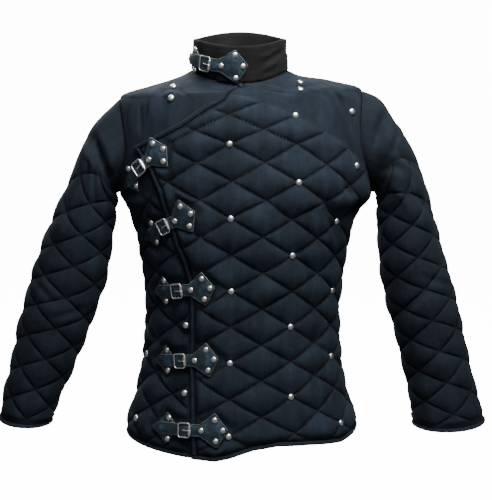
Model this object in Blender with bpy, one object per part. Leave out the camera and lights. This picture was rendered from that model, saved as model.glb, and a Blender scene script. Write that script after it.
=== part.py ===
"""Short quilted gambeson: a padded cotton arming jacket, filled out as it hangs on a wearer.

The left front laps over the right front and is held shut by six riveted leather straps with
roller buckles, one of them on the standing collar. Tables are in millimetres, objects in metres.
+X is the wearer's left, -Y the front and +Z up. The origin lies midway between the shoulder
seams, where the wearer's shoulders carry the jacket.
"""
import math

import bmesh
import bpy
from mathutils import Vector
from mathutils.bvhtree import BVHTree
from mathutils.geometry import delaunay_2d_cdt

MM = 0.001

# Cloth
WALL = 5.0
PUFF = 6.0
SLEEVE_PUFF = 5.0
PUFF_POWER = 0.6
# The padding thins out from SEAM_FLAT to SEAM_FLAT + SEAM_EASE beside a seam
SEAM_FLAT = 4.0
SEAM_EASE = 14.0
EDGE_FLAT = 6.0
EDGE_EASE = 8.0
SEAM_GAP = 0.5
BINDING = 8.0
BINDING_PROUD = 1.2
BINDING_CREST = 3.2
BINDING_ROUND = 0.4
LIFT = 6.4
LIFT_NEAR = 6.0
LIFT_EASE = 38.0
SAMPLE = 29.0

# Body of the jacket: rings from the hem up to the neck. Path is the way up the cloth, u the
# way round it from the middle of the front or back, where radius turns u into an angle.
TORSO_RINGS = (
    # path, height, half width, front, back, radius, centre x, front drop, back rise
    (-700, -700, 231, 170, 152, 206, 0, 0, 0),
    (-655, -655, 223, 165, 148, 203, 0, 0, 0),
    (-600, -600, 205, 156, 139, 197, -1, 0, 0),
    (-520, -520, 189, 145, 126, 190, 0, 0, 0),
    (-430, -430, 184, 139, 118, 187, 1, 0, 0),
    (-340, -340, 191, 140, 122, 191, 3, 0, 0),
    (-265, -265, 206, 143, 128, 212, 3, 0, 0),
    (-232, -232, 217, 143, 129, 221, 2, 0, 0),
    (-205, -205, 240, 142, 130, 230, 7, 0, 0),
    (-110, -110, 230, 132, 126, 232, 2, 0, 0),
    (-20, -20, 227, 108, 106, 222, -2, 0, 0),
    (40, 0, 172, 96, 95, 165, -3, 11, 5),
    (100, 14, 112, 84, 82, 110, -4, 17, 10),
    (122, 24, 91, 78, 74, 92, -4, 24, 8),
)
ARMHOLE_TOP = -20.0
ARMHOLE_BOTTOM = -205.0
ARMHOLE_HALF_DEPTH = 62.0
ARMHOLE_BOW = 12.0
ARMHOLE_MIDDLE = (ARMHOLE_TOP + ARMHOLE_BOTTOM) / 2
ARMHOLE_HALF_HIGH = (ARMHOLE_TOP - ARMHOLE_BOTTOM) / 2
# Where the cloth begins to turn square to the sleeves: share of the armhole's size, and x
RIM_NEAR = 0.4
RIM_FROM = 170.0
RIM_EASE = 40.0
NECK = 122.0
NECK_EASE_FROM = 85.0
# The wearer's left shoulder sits a little higher than the right one
SHOULDER_LEAN = 0.03
LEAN_EASE = 150.0
LEAN_END = 50.0

# Diamond quilting: half a diamond's width and height, and where one crossing lies
QUILT_WIDE = 57.5
QUILT_HIGH = 33.25
QUILT_HIGH_TOP = 22.0
QUILT_ROW = -104.5
FRONT_COLUMN = -22.0
BACK_COLUMN = 0.0
# Its rows droop by this much at DROOP_AT to either side, above DROOP_FROM
QUILT_DROOP = 7.5
DROOP_AT = 172.0
DROOP_FROM = -560.0
DROOP_EASE = 110.0
# Cloth above these places in the quilting is plain, on the left front and back and on the right
YOKE = 4.0
YOKE_EASE = 0.5
YOKE_NET = 0.6
RIGHT_YOKE = -2.5
RIGHT_YOKE_EASE = 0.6

# Outer edge of the left front, from its collar end down to the hem
OVERLAP_EDGE = (
    # u, path
    (-2, 122),
    (-2, 44),
    (-36, -30),
    (-106, -70),
    (-160, -91),
    (-212, -108),
    (-178, -146),
    (-160, -192),
    (-150, -240),
    (-134, -285),
    (-114, -320),
    (-100, -362),
    (-98, -524),
    (-84, -673.5),
)
LEFT_REGION = list(OVERLAP_EDGE) + [(-82, -700), (400, -700), (400, 122)]
# Hidden edge of the right front, under the left front
UNDERLAP_EDGE = (
    # u, path
    (36, 122),
    (32, 44),
    (12, -30),
    (-20, -74),
    (-80, -106),
    (-108, -190),
    (-80, -290),
    (-55, -362),
    (-50, -524),
    (-38, -690),
)
# Hem heights, from the wearer's right side seam to the left one
FRONT_HEM = (
    # u, path
    (-340, -676),
    (-200, -678),
    (-84, -682),
    (-44, -683.5),
    (-17, -676.5),
    (20, -663.5),
    (60, -658),
    (118, -662),
    (200, -672),
    (340, -662),
)
BACK_HEM = (
    # u, path
    (-340, -676),
    (0, -672),
    (340, -662),
)

# Sleeves: sections from the armhole to the cuff, given by their outer and inner points
SLEEVES = {
    "right": {
        "side": -1,
        "quilt_turn": 9.0,
        "first_row": 57.5,
        "rows": (
            # along, outer x, outer z, inner x, inner z, half depth, centre y
            (21, 256, -49, 239, -207, 66, 0),
            (49, 287, -90, 241, -212, 69, 0),
            (80, 308, -140, 241, -220, 70, -1),
            (119, 332, -195, 243, -238, 70, -2),
            (180, 363, -262, 250, -288, 70, -4),
            (267, 395, -345, 265, -374, 69, -9),
            (329, 411, -399, 286, -438, 67, -14),
            (402, 430, -470, 313, -506, 63, -21),
            (464, 443, -531, 337, -564, 59, -29),
            (515, 455, -580, 359, -611, 56, -36),
            (566, 469, -638, 369, -648, 55, -43),
        ),
    },
    "left": {
        "side": 1,
        "quilt_turn": -4.0,
        "first_row": 53.5,
        "rows": (
            # along, outer x, outer z, inner x, inner z, half depth, centre y
            (21, 259, -33, 255, -206, 66, 0),
            (46, 286, -66, 258, -211, 69, 0),
            (78, 315, -118, 259, -217, 71, -1),
            (113, 340, -171, 261, -228, 71, -2),
            (179, 363, -250, 262, -276, 70, -4),
            (250, 383, -320, 268, -346, 69, -8),
            (325, 405, -392, 282, -421, 68, -13),
            (393, 420, -457, 301, -486, 66, -19),
            (470, 437, -531, 318, -561, 64, -28),
            (528, 452, -592, 329, -613, 64, -35),
            (578, 469, -643, 331, -653, 65, -42),
        ),
    },
}
SLEEVE_COLUMNS = 16
SLEEVE_QUILT_HIGH = 30.5
CAP_BLEND = 45.0

# Standing collar: it winds once round the neck and laps over itself at the front
COLLAR_RINGS = (
    # up, half width, front, back, side height, front drop, back rise
    (0, 91, 78, 74, 24, 24, 8),
    (1, 87, 85, 79, 82, 15, 15),
)
COLLAR_HIGH = 62.0
COLLAR_MIDDLE = -4.0
COLLAR_ROWS = 2
COLLAR_EDGE = 1.5
COLLAR_LIFT_FROM = 305.0
COLLAR_LIFT_EASE = 38.0
COLLAR_UNDER_END = 12.0
COLLAR_OVER_END = -25.0
COLLAR_STEP = 11.0
COLLAR_GAP = 0.8

# Closures: strap plate's middle on the cloth, the strap's direction and how it is worn
CLOSURES = (
    # name, u, path, direction in degrees
    ("closure_1", -150, -119, 212),
    ("closure_2", -106, -233, 203),
    ("closure_3", -71, -366, 188),
    ("closure_4", -62, -498, 187),
    ("closure_5", -43, -626, 184),
)
COLLAR_CLOSURE = ("closure_collar", -6, 28.5, 182)
PLATE_BACK = 21.0
PLATE_FRONT = 28.0
PLATE_HALF_TALL = 32.0
COLLAR_PLATE_HALF_TALL = 28.0
LEATHER = 2.5
PLATE_HEIGHT = 1.1
STRAP_HALF = 11.0
STRAP_REACH = 132.0
STRAP_POINT = 20.0
STRAP_CLEAR = 0.6
STRAP_LOW_CLEAR = 0.9
STRAP_FALL_FROM = 60.0
STRAP_FALL_LONG = 24.0
BUCKLE_AT = 56.0
BUCKLE_LONG = 31.0
BUCKLE_WIDE = 32.0
BUCKLE_BAR = 3.0
BUCKLE_CORNER = 4.0
BUCKLE_CLEAR = 0.4
MIDDLE_BAR_HALF = 1.3
MIDDLE_BAR_CLEAR = 0.5
# Posts that join the middle bar to the frame's sides
POST_IN = 1.0
POST_START = 0.6
POST_END = 2.6
POST_HALF = 1.5
POST_RISE = 0.2
ROLLER_RADIUS = 2.4
ROLLER_CLEAR = 0.3
ROLLER_UP = 0.4
# Tongue: its foot and its tip along the buckle with their heights, and its section
TONGUE_FOOT = ((2.5, 0.1), (-5, 0.9))
TONGUE_TIP = ((5, 0.0), (-1.5, 0.0), (-3.0, -0.8))
TONGUE_SECTION = ((-1.3, 0), (1.3, 0), (1.0, 2.0), (-1.0, 2.0))
BUCKLE_PLATE_AT = 97.0
BUCKLE_PLATE_HALF_LONG = 30.0
BUCKLE_PLATE_HALF_TALL = 30.0
KEEPER_HALF = 9.0
STRAP_RIVETS = ((1, 19), (1, -19), (-12, 0), (25, 0))
PLATE_RIVETS = ((93, 19), (93, -19))
RIVET_RADIUS = 4.8
RIVET_TALL = 3.0
RIVET_SUNK = 0.9
BARE_NEAR, BARE_FAR = 46.0, 66.0

# Nickel studs: most sit on a crossing of the quilting, the others on the plain shoulders
STUD_RADIUS = 5.3
STUD_TALL = 3.4
STUD_CLEAR = 0.2
STUD_RAY = 40.0
STUD_ROWS = (
    # column, first row, row step, count
    (0, 0, -4, 5),
    (2, 2, 0, 1),
    (2, -2, -4, 4),
    (4, -4, -4, 4),
)
STUD_POINTS = (
    # u, path
    (222, -62),
    (224, -150),
    (110, 5),
    (118, 60),
    (-128, -24),
    (-134, 55),
    (-109, -438),
    (-107, -564),
    (-239, -512),
    (-230, -633),
)

# Largest folds, as soft troughs (below 0) and ridges in the whole cloth
FOLDS = (
    # u, path, half length, half width, lean in degrees, depth
    (196, -45, 62, 17, 8, -6),
    (176, -30, 60, 16, 8, 3),
    (-150, -30, 60, 18, -3, -4),
    (-182, -50, 58, 16, -3, 3),
)


def smooth(value):
    """Soft step from 0 to 1."""
    value = min(1.0, max(0.0, value))
    return value * value * (3 - 2 * value)


def read_table(rows, at):
    """Smooth curve through a table's rows, read where its first column is at."""
    at = min(max(at, rows[0][0]), rows[-1][0])
    last = len(rows) - 1
    low = max(i for i in range(last) if i == 0 or rows[i][0] <= at)
    step = rows[low + 1][0] - rows[low][0]
    t = (at - rows[low][0]) / step

    def slope(i, column):
        rises = [(rows[j + 1][column] - rows[j][column]) / (rows[j + 1][0] - rows[j][0])
                 for j in (i - 1, i) if 0 <= j < last]
        if len(rises) == 1:
            return rises[0]
        before, after = rises
        return 0.0 if before * after <= 0 else 2 * before * after / (before + after)

    values = []
    for column in range(1, len(rows[0])):
        start, end = rows[low][column], rows[low + 1][column]
        start_slope, end_slope = slope(low, column) * step, slope(low + 1, column) * step
        values.append((2 * t**3 - 3 * t**2 + 1) * start + (t**3 - 2 * t**2 + t) * start_slope
                      + (3 * t**2 - 2 * t**3) * end + (t**3 - t**2) * end_slope)
    return values


def read_line(rows, at):
    """Straight-line reading of a two-column table."""
    for (u0, v0), (u1, v1) in zip(rows, rows[1:]):
        if at <= u1:
            return v0 + (v1 - v0) * (at - u0) / (u1 - u0)
    return rows[-1][1]


def armhole_share(path):
    """Armhole's opening at a height: 1 at its widest, 0 at its top and bottom."""
    return math.sqrt(max(0.0, 1 - ((path - ARMHOLE_MIDDLE) / ARMHOLE_HALF_HIGH)**2))


def torso_ring(path, back):
    height, wide, front, rear, radius, centre, drop, rise = read_table(TORSO_RINGS, path)
    share = armhole_share(path)
    depth = rear if back else front
    reach = ARMHOLE_HALF_DEPTH * share / depth
    wide = (wide - ARMHOLE_BOW * share**2) / math.sqrt(1 - reach * reach)
    return height, wide, depth, radius, centre, (rise if back else -drop), reach


def edge_u(path, back):
    """How far round a panel reaches at a height: to the side, the armhole or the shoulder."""
    ring = torso_ring(path, back)
    return ring[3] * math.acos(ring[6])


def fold_depth(u, path):
    depth = 0.0
    for fold_u, fold_path, half_length, half_width, lean, deep in FOLDS:
        turn = math.radians(lean)
        along = (path - fold_path) * math.cos(turn) + (u - fold_u) * math.sin(turn)
        across = (u - fold_u) * math.cos(turn) - (path - fold_path) * math.sin(turn)
        depth += deep * smooth(1 - abs(along) / half_length) * smooth(1 - abs(across) / half_width)
    return depth


def shoulder_lean(x, path):
    """How much higher the wearer's left shoulder sits, and how much lower the right one."""
    rise = smooth((path - ARMHOLE_BOTTOM) / LEAN_EASE)
    return SHOULDER_LEAN * x * rise * (1 - smooth((path - LEAN_END) / (NECK - LEAN_END)))


def torso_base(u, path, back):
    """Point of the outer cloth at the quilting lines, in millimetres."""
    height, wide, depth, radius, centre, tilt, _ = torso_ring(path, back)
    turn = u / radius
    side = 1 if back else -1
    x = centre + wide * math.sin(turn)
    z = height + tilt * math.cos(turn)**2 + shoulder_lean(x, path)
    return Vector((x, side * depth * math.cos(turn), z))


def armhole_direction(point):
    """Way out of the armhole seam, square to its edge and in its plane."""
    return Vector((0.0, point.y / ARMHOLE_HALF_DEPTH**2,
                   (point.z - ARMHOLE_MIDDLE) / ARMHOLE_HALF_HIGH**2))


def torso_out(u, path, back):
    """Outward direction of the cloth, turned to meet the collar and the sleeves squarely."""
    step = 1.0
    edge = edge_u(path, back)
    inner_u = max(-edge + step, min(edge - step, u))
    point = torso_base(u, path, back)
    round_way = torso_base(inner_u + step, path, back) - torso_base(inner_u - step, path, back)
    low, high = max(path - step, TORSO_RINGS[0][0]), min(path + step, NECK)
    up_way = torso_base(u, high, back) - torso_base(u, low, back)
    out = round_way.cross(up_way).normalized()
    if back:
        out.negate()
    flat = Vector((out.x, out.y, 0)).normalized()
    out = out.lerp(flat, smooth((path - NECK_EASE_FROM) / (NECK - NECK_EASE_FROM)))
    away = math.hypot((point.z - ARMHOLE_MIDDLE) / ARMHOLE_HALF_HIGH,
                      point.y / ARMHOLE_HALF_DEPTH)
    near = smooth(1 - abs(away - 1) / RIM_NEAR) * smooth((abs(point.x) - RIM_FROM) / RIM_EASE)
    if near > 0:
        out = out.lerp(armhole_direction(point).normalized(), near)
    return out.normalized()


def torso_place(u, path, height, back=False):
    """Point at a height over the cloth, in metres."""
    out = torso_out(u, path, back)
    over = height + (0.0 if back else fold_depth(u, path))
    return (torso_base(u, path, back) + out * over) * MM


def collar_place(u, path, height):
    """Point of the collar: u round from the front, path up from its seam."""
    up = path / COLLAR_HIGH
    wide, front, rear, side_height, drop, rise = [
        low + (high - low) * up for low, high in zip(COLLAR_RINGS[0][1:], COLLAR_RINGS[1][1:])]
    turn = u / COLLAR_RINGS[0][1]
    depth = front if math.cos(turn) > 0 else rear
    tilt = -drop if math.cos(turn) > 0 else rise
    point = Vector((COLLAR_MIDDLE + wide * math.sin(turn), -depth * math.cos(turn),
                    side_height + tilt * math.cos(turn)**2))
    out = Vector((math.sin(turn) / wide, -math.cos(turn) / depth, 0)).normalized()
    return (point + out * height) * MM


def quilt_steps(u, path, column):
    """Place in the quilting: crossings lie where both numbers are whole and their sum is even."""
    fall = QUILT_DROOP * ((u - column) / DROOP_AT)**2 * smooth((path - DROOP_FROM) / DROOP_EASE)
    row = path + fall - QUILT_ROW
    return (u - column) / QUILT_WIDE, row / (QUILT_HIGH if row < 0 else QUILT_HIGH_TOP)


def quilt_point(across, up, column):
    """The other way: from a place in the quilting to u and path."""
    u = column + across * QUILT_WIDE
    row = QUILT_ROW + up * (QUILT_HIGH if up < 0 else QUILT_HIGH_TOP)
    return u, row - QUILT_DROOP * ((u - column) / DROOP_AT)**2 * smooth((row - DROOP_FROM) / DROOP_EASE)


def puff_shape(across, up):
    """Height of a padded diamond, from 0 on its stitched sides to 1 in its middle."""
    one, other = (across + up) / 2, (across - up) / 2
    return abs(math.sin(math.pi * one) * math.sin(math.pi * other))**PUFF_POWER


def distance_to(point, line, closed=False):
    """Shortest way from a flat point to a line through a list of points."""
    best = 1e9
    pairs = list(zip(line, line[1:])) + ([(line[-1], line[0])] if closed else [])
    for (x0, y0), (x1, y1) in pairs:
        dx, dy = x1 - x0, y1 - y0
        span = dx * dx + dy * dy
        t = 0.0 if span == 0 else ((point[0] - x0) * dx + (point[1] - y0) * dy) / span
        t = min(1.0, max(0.0, t))
        best = min(best, math.hypot(x0 + t * dx - point[0], y0 + t * dy - point[1]))
    return best


def inside(point, outline):
    """Whether a flat point lies inside an outline."""
    hit = False
    for (x0, y0), (x1, y1) in zip(outline, outline[1:] + outline[:1]):
        if (y0 > point[1]) != (y1 > point[1]):
            if point[0] < x0 + (x1 - x0) * (point[1] - y0) / (y1 - y0):
                hit = not hit
    return hit


def shift_line(line, away):
    """The same line moved sideways: to its left for a positive distance."""
    moved = []
    for i, (x, y) in enumerate(line):
        ways = []
        for j in (i - 1, i):
            if 0 <= j < len(line) - 1:
                dx, dy = line[j + 1][0] - line[j][0], line[j + 1][1] - line[j][1]
                length = math.hypot(dx, dy)
                ways.append((-dy / length, dx / length))
        nx, ny = sum(w[0] for w in ways), sum(w[1] for w in ways)
        length = math.hypot(nx, ny)
        nx, ny = nx / length, ny / length
        square = nx * ways[0][0] + ny * ways[0][1]
        moved.append((x + nx * away / square, y + ny * away / square))
    return moved


def split_line(line, step=SAMPLE):
    """The same line with points added so that none lie further apart than step."""
    points = []
    for (x0, y0), (x1, y1) in zip(line, line[1:]):
        count = max(1, math.ceil(math.hypot(x1 - x0, y1 - y0) / step))
        points += [(x0 + (x1 - x0) * i / count, y0 + (y1 - y0) * i / count) for i in range(count)]
    return points + [line[-1]]


def colour(text):
    """Linear colour from an sRGB hex value."""
    parts = [int(text[i:i + 2], 16) / 255 for i in (0, 2, 4)]
    return [c / 12.92 if c <= 0.04045 else ((c + 0.055) / 1.055)**2.4 for c in parts] + [1.0]


def make_material(name, text, roughness, metallic=0.0):
    material = bpy.data.materials.new(name)
    material.use_nodes = True
    shader = material.node_tree.nodes["Principled BSDF"]
    shader.inputs["Base Color"].default_value = colour(text)
    shader.inputs["Roughness"].default_value = roughness
    shader.inputs["Metallic"].default_value = metallic
    return material


def make_object(name, points, faces, material):
    """Closed mesh with its faces pointing out."""
    shape = bmesh.new()
    verts = [shape.verts.new(p) for p in points]
    for face in faces:
        shape.faces.new([verts[i] for i in face])
    loose = [v for v in shape.verts if not v.link_faces]
    bmesh.ops.delete(shape, geom=loose, context="VERTS")
    bmesh.ops.triangulate(shape, faces=shape.faces[:])
    bmesh.ops.recalc_face_normals(shape, faces=shape.faces[:])
    mesh = bpy.data.meshes.new(name)
    shape.to_mesh(mesh)
    shape.free()
    mesh.materials.append(material)
    item = bpy.data.objects.new(name, mesh)
    bpy.context.scene.collection.objects.link(item)
    return item


def flat_triangles(outline, points, links):
    """Triangles that fill an outline and keep its sides and the links as edges."""
    count = len(outline)
    places = [Vector(p) for p in outline + points]
    edges = [(i, (i + 1) % count) for i in range(count)]
    edges += [(a + count, b + count) for a, b in links]
    made, _, faces, *_ = delaunay_2d_cdt(places, edges, [list(range(count))], 1, 1e-5)
    if len(made) != len(places):
        raise ValueError("the lines of a panel cross its outline")
    return [list(face) for face in faces]


def make_panel(name, outline, points, links, coarse, outer, inner, material):
    """Cloth wall between an outer surface with its quilting and a plain inner one."""
    count = len(outline)
    outer_faces = flat_triangles(outline, points, links)
    inner_flat = [points[i] for i in coarse]
    inner_faces = flat_triangles(outline, inner_flat, [])
    verts = [outer(*p) for p in outline + points] + [inner(*p) for p in outline + inner_flat]
    base = count + len(points)
    faces = outer_faces + [[base + i for i in reversed(face)] for face in inner_faces]
    faces += [[(i + 1) % count, i, base + i, base + (i + 1) % count] for i in range(count)]
    return make_object(name, verts, faces, material)


def quilt_net(outline, column, margin, quilted, fine_inside):
    """Points and stitched lines of the quilting that lie well inside an outline."""
    points, index, coarse = [], {}, []
    for i in range(-14, 15):
        for j in range(-36, 24):
            point = quilt_point(i / 2, j / 2, column)
            if abs(point[0]) > 400 or not -700 < point[1] < NECK:
                continue
            if not inside(point, outline) or distance_to(point, outline, True) < margin:
                continue
            main = i % 2 == 0 and j % 2 == 0
            if not main and not quilted(i / 2, j / 2, point):
                continue
            index[i, j] = len(points)
            if main or fine_inside(point):
                coarse.append(len(points))
            points.append(point)
    links = []
    for (i, j), number in index.items():
        if i % 2 and j % 2:
            left, low = (i - 1) // 2, (j - 1) // 2
            rising = (left + low) % 2 == 0
            ends = ((i - 1, j - 1), (i + 1, j + 1)) if rising else ((i + 1, j - 1), (i - 1, j + 1))
            links += [(number, index[end]) for end in ends if end in index]
    return points, links, coarse


def closure_capsules():
    """Middle lines of the closures on the fronts, where the cloth is pressed flat."""
    lines = []
    for _, u, path, direction in CLOSURES:
        turn = math.radians(direction)
        reach = BUCKLE_PLATE_AT + 25
        lines.append(((u, path), (u + reach * math.cos(turn), path + reach * math.sin(turn))))
    return lines


CAPSULES = closure_capsules()


def bare_share(point):
    """0 under a closure, 1 where the quilting is free."""
    near = min(distance_to(point, line) for line in CAPSULES)
    return smooth((near - BARE_NEAR) / (BARE_FAR - BARE_NEAR))


def lift_share(point):
    """1 where the left front lies on the right front, easing to 0 beyond its hidden edge."""
    edge = UNDERLAP_EDGE
    region = [(-400, 200)] + [(edge[0][0], 200)] + list(edge) + [(-400, -700)]
    if inside(point, region):
        return 1.0
    return 1 - smooth((distance_to(point, edge) - LIFT_NEAR) / LIFT_EASE)


def front_puff(u, path, outline, left):
    across, up = quilt_steps(u, path, FRONT_COLUMN)
    height = PUFF * puff_shape(across, up)
    if left:
        height *= smooth((YOKE - across - up) / YOKE_EASE)
    else:
        height *= smooth((RIGHT_YOKE - up) / RIGHT_YOKE_EASE)
        height *= smooth((distance_to((u, path), OVERLAP_EDGE) - EDGE_FLAT) / EDGE_EASE)
        if inside((u, path), LEFT_REGION):
            height = 0.0
    height *= smooth((distance_to((u, path), outline, True) - SEAM_FLAT) / SEAM_EASE)
    return height * bare_share((u, path))


def side_path(back, side, top, bottom, gap):
    """Flat points down a side seam, a gap short of it."""
    count = math.ceil((top - bottom) / 34)
    paths = [top + (bottom - top) * i / count for i in range(count + 1)]
    return [(side * (edge_u(path, back) - gap), path) for path in paths]


def armhole_path(back, side):
    """Flat points round the front or back half of an armhole, from its top to its bottom."""
    steps = SLEEVE_COLUMNS // 2
    paths = [ARMHOLE_MIDDLE + ARMHOLE_HALF_HIGH * math.cos(math.pi * i / steps)
             for i in range(steps + 1)]
    return [(side * edge_u(path, back), path) for path in paths]


def shoulder_path(back, side, gap):
    """Flat points up the shoulder seam to the neck."""
    paths = (8, 36, 64, 93, NECK)
    return [(side * (edge_u(path, back) - gap), path) for path in paths]


def neck_path(back, start, end):
    """Flat points along the neck seam."""
    radius = torso_ring(NECK, back)[3]
    count = max(1, round(abs(end - start) / radius / math.radians(COLLAR_STEP)))
    return [(start + (end - start) * i / count, NECK) for i in range(count + 1)]


def side_outline(back, side, hem):
    """From the neck over the shoulder seam, round the armhole and down the side to the hem."""
    gap = SEAM_GAP / 2
    shoulder = shoulder_path(back, side, gap)[::-1]
    armhole = armhole_path(back, side)
    armhole[0] = (armhole[0][0] - side * gap, armhole[0][1])
    armhole[-1] = (armhole[-1][0] - side * gap, armhole[-1][1])
    end = read_line(hem, side * edge_u(-670, back)) + BINDING + SEAM_GAP
    seam = side_path(back, side, ARMHOLE_BOTTOM, end, gap)[1:]
    return shoulder + armhole + seam


def hem_path(hem, start, end):
    """Flat points along the cloth's lower edge, just above the hem binding."""
    inner = [u for u, _ in hem if min(start, end) < u < max(start, end)]
    stops = [start] + (inner if start < end else inner[::-1]) + [end]
    raised = BINDING + SEAM_GAP
    return split_line([(u, read_line(hem, u) + raised) for u in stops])


def closed_outline(parts):
    """One outline from runs of points, without doubled points."""
    outline = []
    for point in [p for run in parts for p in run]:
        if not outline or math.hypot(point[0] - outline[-1][0], point[1] - outline[-1][1]) > 2:
            outline.append(point)
    if math.hypot(outline[0][0] - outline[-1][0], outline[0][1] - outline[-1][1]) < 2:
        outline.pop()
    return outline


def make_left_front(material):
    """Lapping front: from the wearer's left side across to its bound edge."""
    cloth_edge = shift_line(split_line(OVERLAP_EDGE), BINDING + SEAM_GAP)
    cloth_edge[0] = (cloth_edge[0][0], NECK)
    foot_u = cloth_edge[-1][0]
    cloth_edge[-1] = (foot_u, read_line(FRONT_HEM, foot_u) + BINDING + SEAM_GAP)
    side = side_outline(False, 1, FRONT_HEM)
    hem = hem_path(FRONT_HEM, side[-1][0], foot_u)
    neck = neck_path(False, cloth_edge[0][0], side[0][0])
    outline = closed_outline([side, hem, cloth_edge[::-1], neck])

    def outer(u, path):
        height = LIFT * lift_share((u, path)) + front_puff(u, path, outline, True)
        return torso_place(u, path, height)

    def inner(u, path):
        return torso_place(u, path, LIFT * lift_share((u, path)) - WALL)

    def quilted(across, up, point):
        return across + up < YOKE + YOKE_NET or fold_depth(*point) != 0 or lift_share(point) > 0

    net = quilt_net(outline, FRONT_COLUMN, 10, quilted, lambda p: lift_share(p) > 0)
    return make_panel("front_left", outline, *net, outer, inner, material)


def make_right_front(material):
    """Front that lies beneath: from the wearer's right side to its hidden edge."""
    edge = list(UNDERLAP_EDGE)
    edge[-1] = (edge[-1][0], read_line(FRONT_HEM, edge[-1][0]) + BINDING + SEAM_GAP)
    side = side_outline(False, -1, FRONT_HEM)
    hem = hem_path(FRONT_HEM, side[-1][0], edge[-1][0])
    neck = neck_path(False, edge[0][0], side[0][0])
    outline = closed_outline([side, hem, split_line(edge)[::-1], neck])

    def outer(u, path):
        return torso_place(u, path, front_puff(u, path, outline, False))

    def inner(u, path):
        return torso_place(u, path, -WALL)

    def quilted(across, up, point):
        return up < -2 or fold_depth(*point) != 0 or inside(point, LEFT_REGION)

    net = quilt_net(outline, FRONT_COLUMN, 10, quilted, lambda p: inside(p, LEFT_REGION))
    return make_panel("front_right", outline, *net, outer, inner, material)


def make_back(material):
    """Back in one piece."""
    left = side_outline(True, 1, BACK_HEM)
    right = side_outline(True, -1, BACK_HEM)
    hem = hem_path(BACK_HEM, left[-1][0], right[-1][0])
    neck = neck_path(True, right[0][0], left[0][0])
    outline = closed_outline([left, hem, right[::-1], neck])

    def outer(u, path):
        across, up = quilt_steps(u, path, BACK_COLUMN)
        height = PUFF * puff_shape(across, up) * smooth((YOKE - abs(across) - up) / YOKE_EASE)
        height *= smooth((distance_to((u, path), outline, True) - SEAM_FLAT) / SEAM_EASE)
        return torso_place(u, path, height, back=True)

    def inner(u, path):
        return torso_place(u, path, -WALL, back=True)

    def quilted(across, up, point):
        return abs(across) + up < YOKE + YOKE_NET

    net = quilt_net(outline, BACK_COLUMN, 10, quilted, lambda p: False)
    return make_panel("back", outline, *net, outer, inner, material)


def sleeve_base(sleeve, along, turn):
    """Point of a sleeve's cloth at its quilting lines; turn 0 is outermost, 90 the front."""
    rows, side = sleeve["rows"], sleeve["side"]
    top, bottom = torso_ring(ARMHOLE_TOP, False), torso_ring(ARMHOLE_BOTTOM, False)
    start = (0, top[1] + side * top[4], ARMHOLE_TOP, bottom[1] + side * bottom[4], ARMHOLE_BOTTOM,
             ARMHOLE_HALF_DEPTH, 0)
    outer_x, outer_z, inner_x, inner_z, depth, centre_y = read_table((start,) + rows, along)
    cosine = math.cos(turn)
    rim_path = ARMHOLE_MIDDLE + ARMHOLE_HALF_HIGH * cosine
    rim = torso_ring(rim_path, False)
    rim_x = side * rim[4] + rim[1] * math.sqrt(1 - rim[6]**2)
    plain_x = (start[1] + start[3]) / 2 + cosine * (start[1] - start[3]) / 2
    near = 1 - smooth(along / CAP_BLEND)
    x = (outer_x + inner_x) / 2 + cosine * (outer_x - inner_x) / 2 - (plain_x - rim_x) * near
    z = (outer_z + inner_z) / 2 + cosine * (outer_z - inner_z) / 2
    z += shoulder_lean(side * rim_x, rim_path) * near
    return Vector((side * x, centre_y - depth * math.sin(turn), z))


def sleeve_out(sleeve, along, turn):
    low, high = max(along - 2.0, 0.0), along + 2.0
    down = sleeve_base(sleeve, high, turn) - sleeve_base(sleeve, low, turn)
    step = math.radians(3)
    round_way = sleeve_base(sleeve, along, turn + step) - sleeve_base(sleeve, along, turn - step)
    out = round_way.cross(down).normalized() * sleeve["side"]
    if along < CAP_BLEND:
        seam = armhole_direction(sleeve_base(sleeve, 0, turn)).normalized()
        out = seam.lerp(out, smooth(along / CAP_BLEND))
    return out.normalized()


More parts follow.
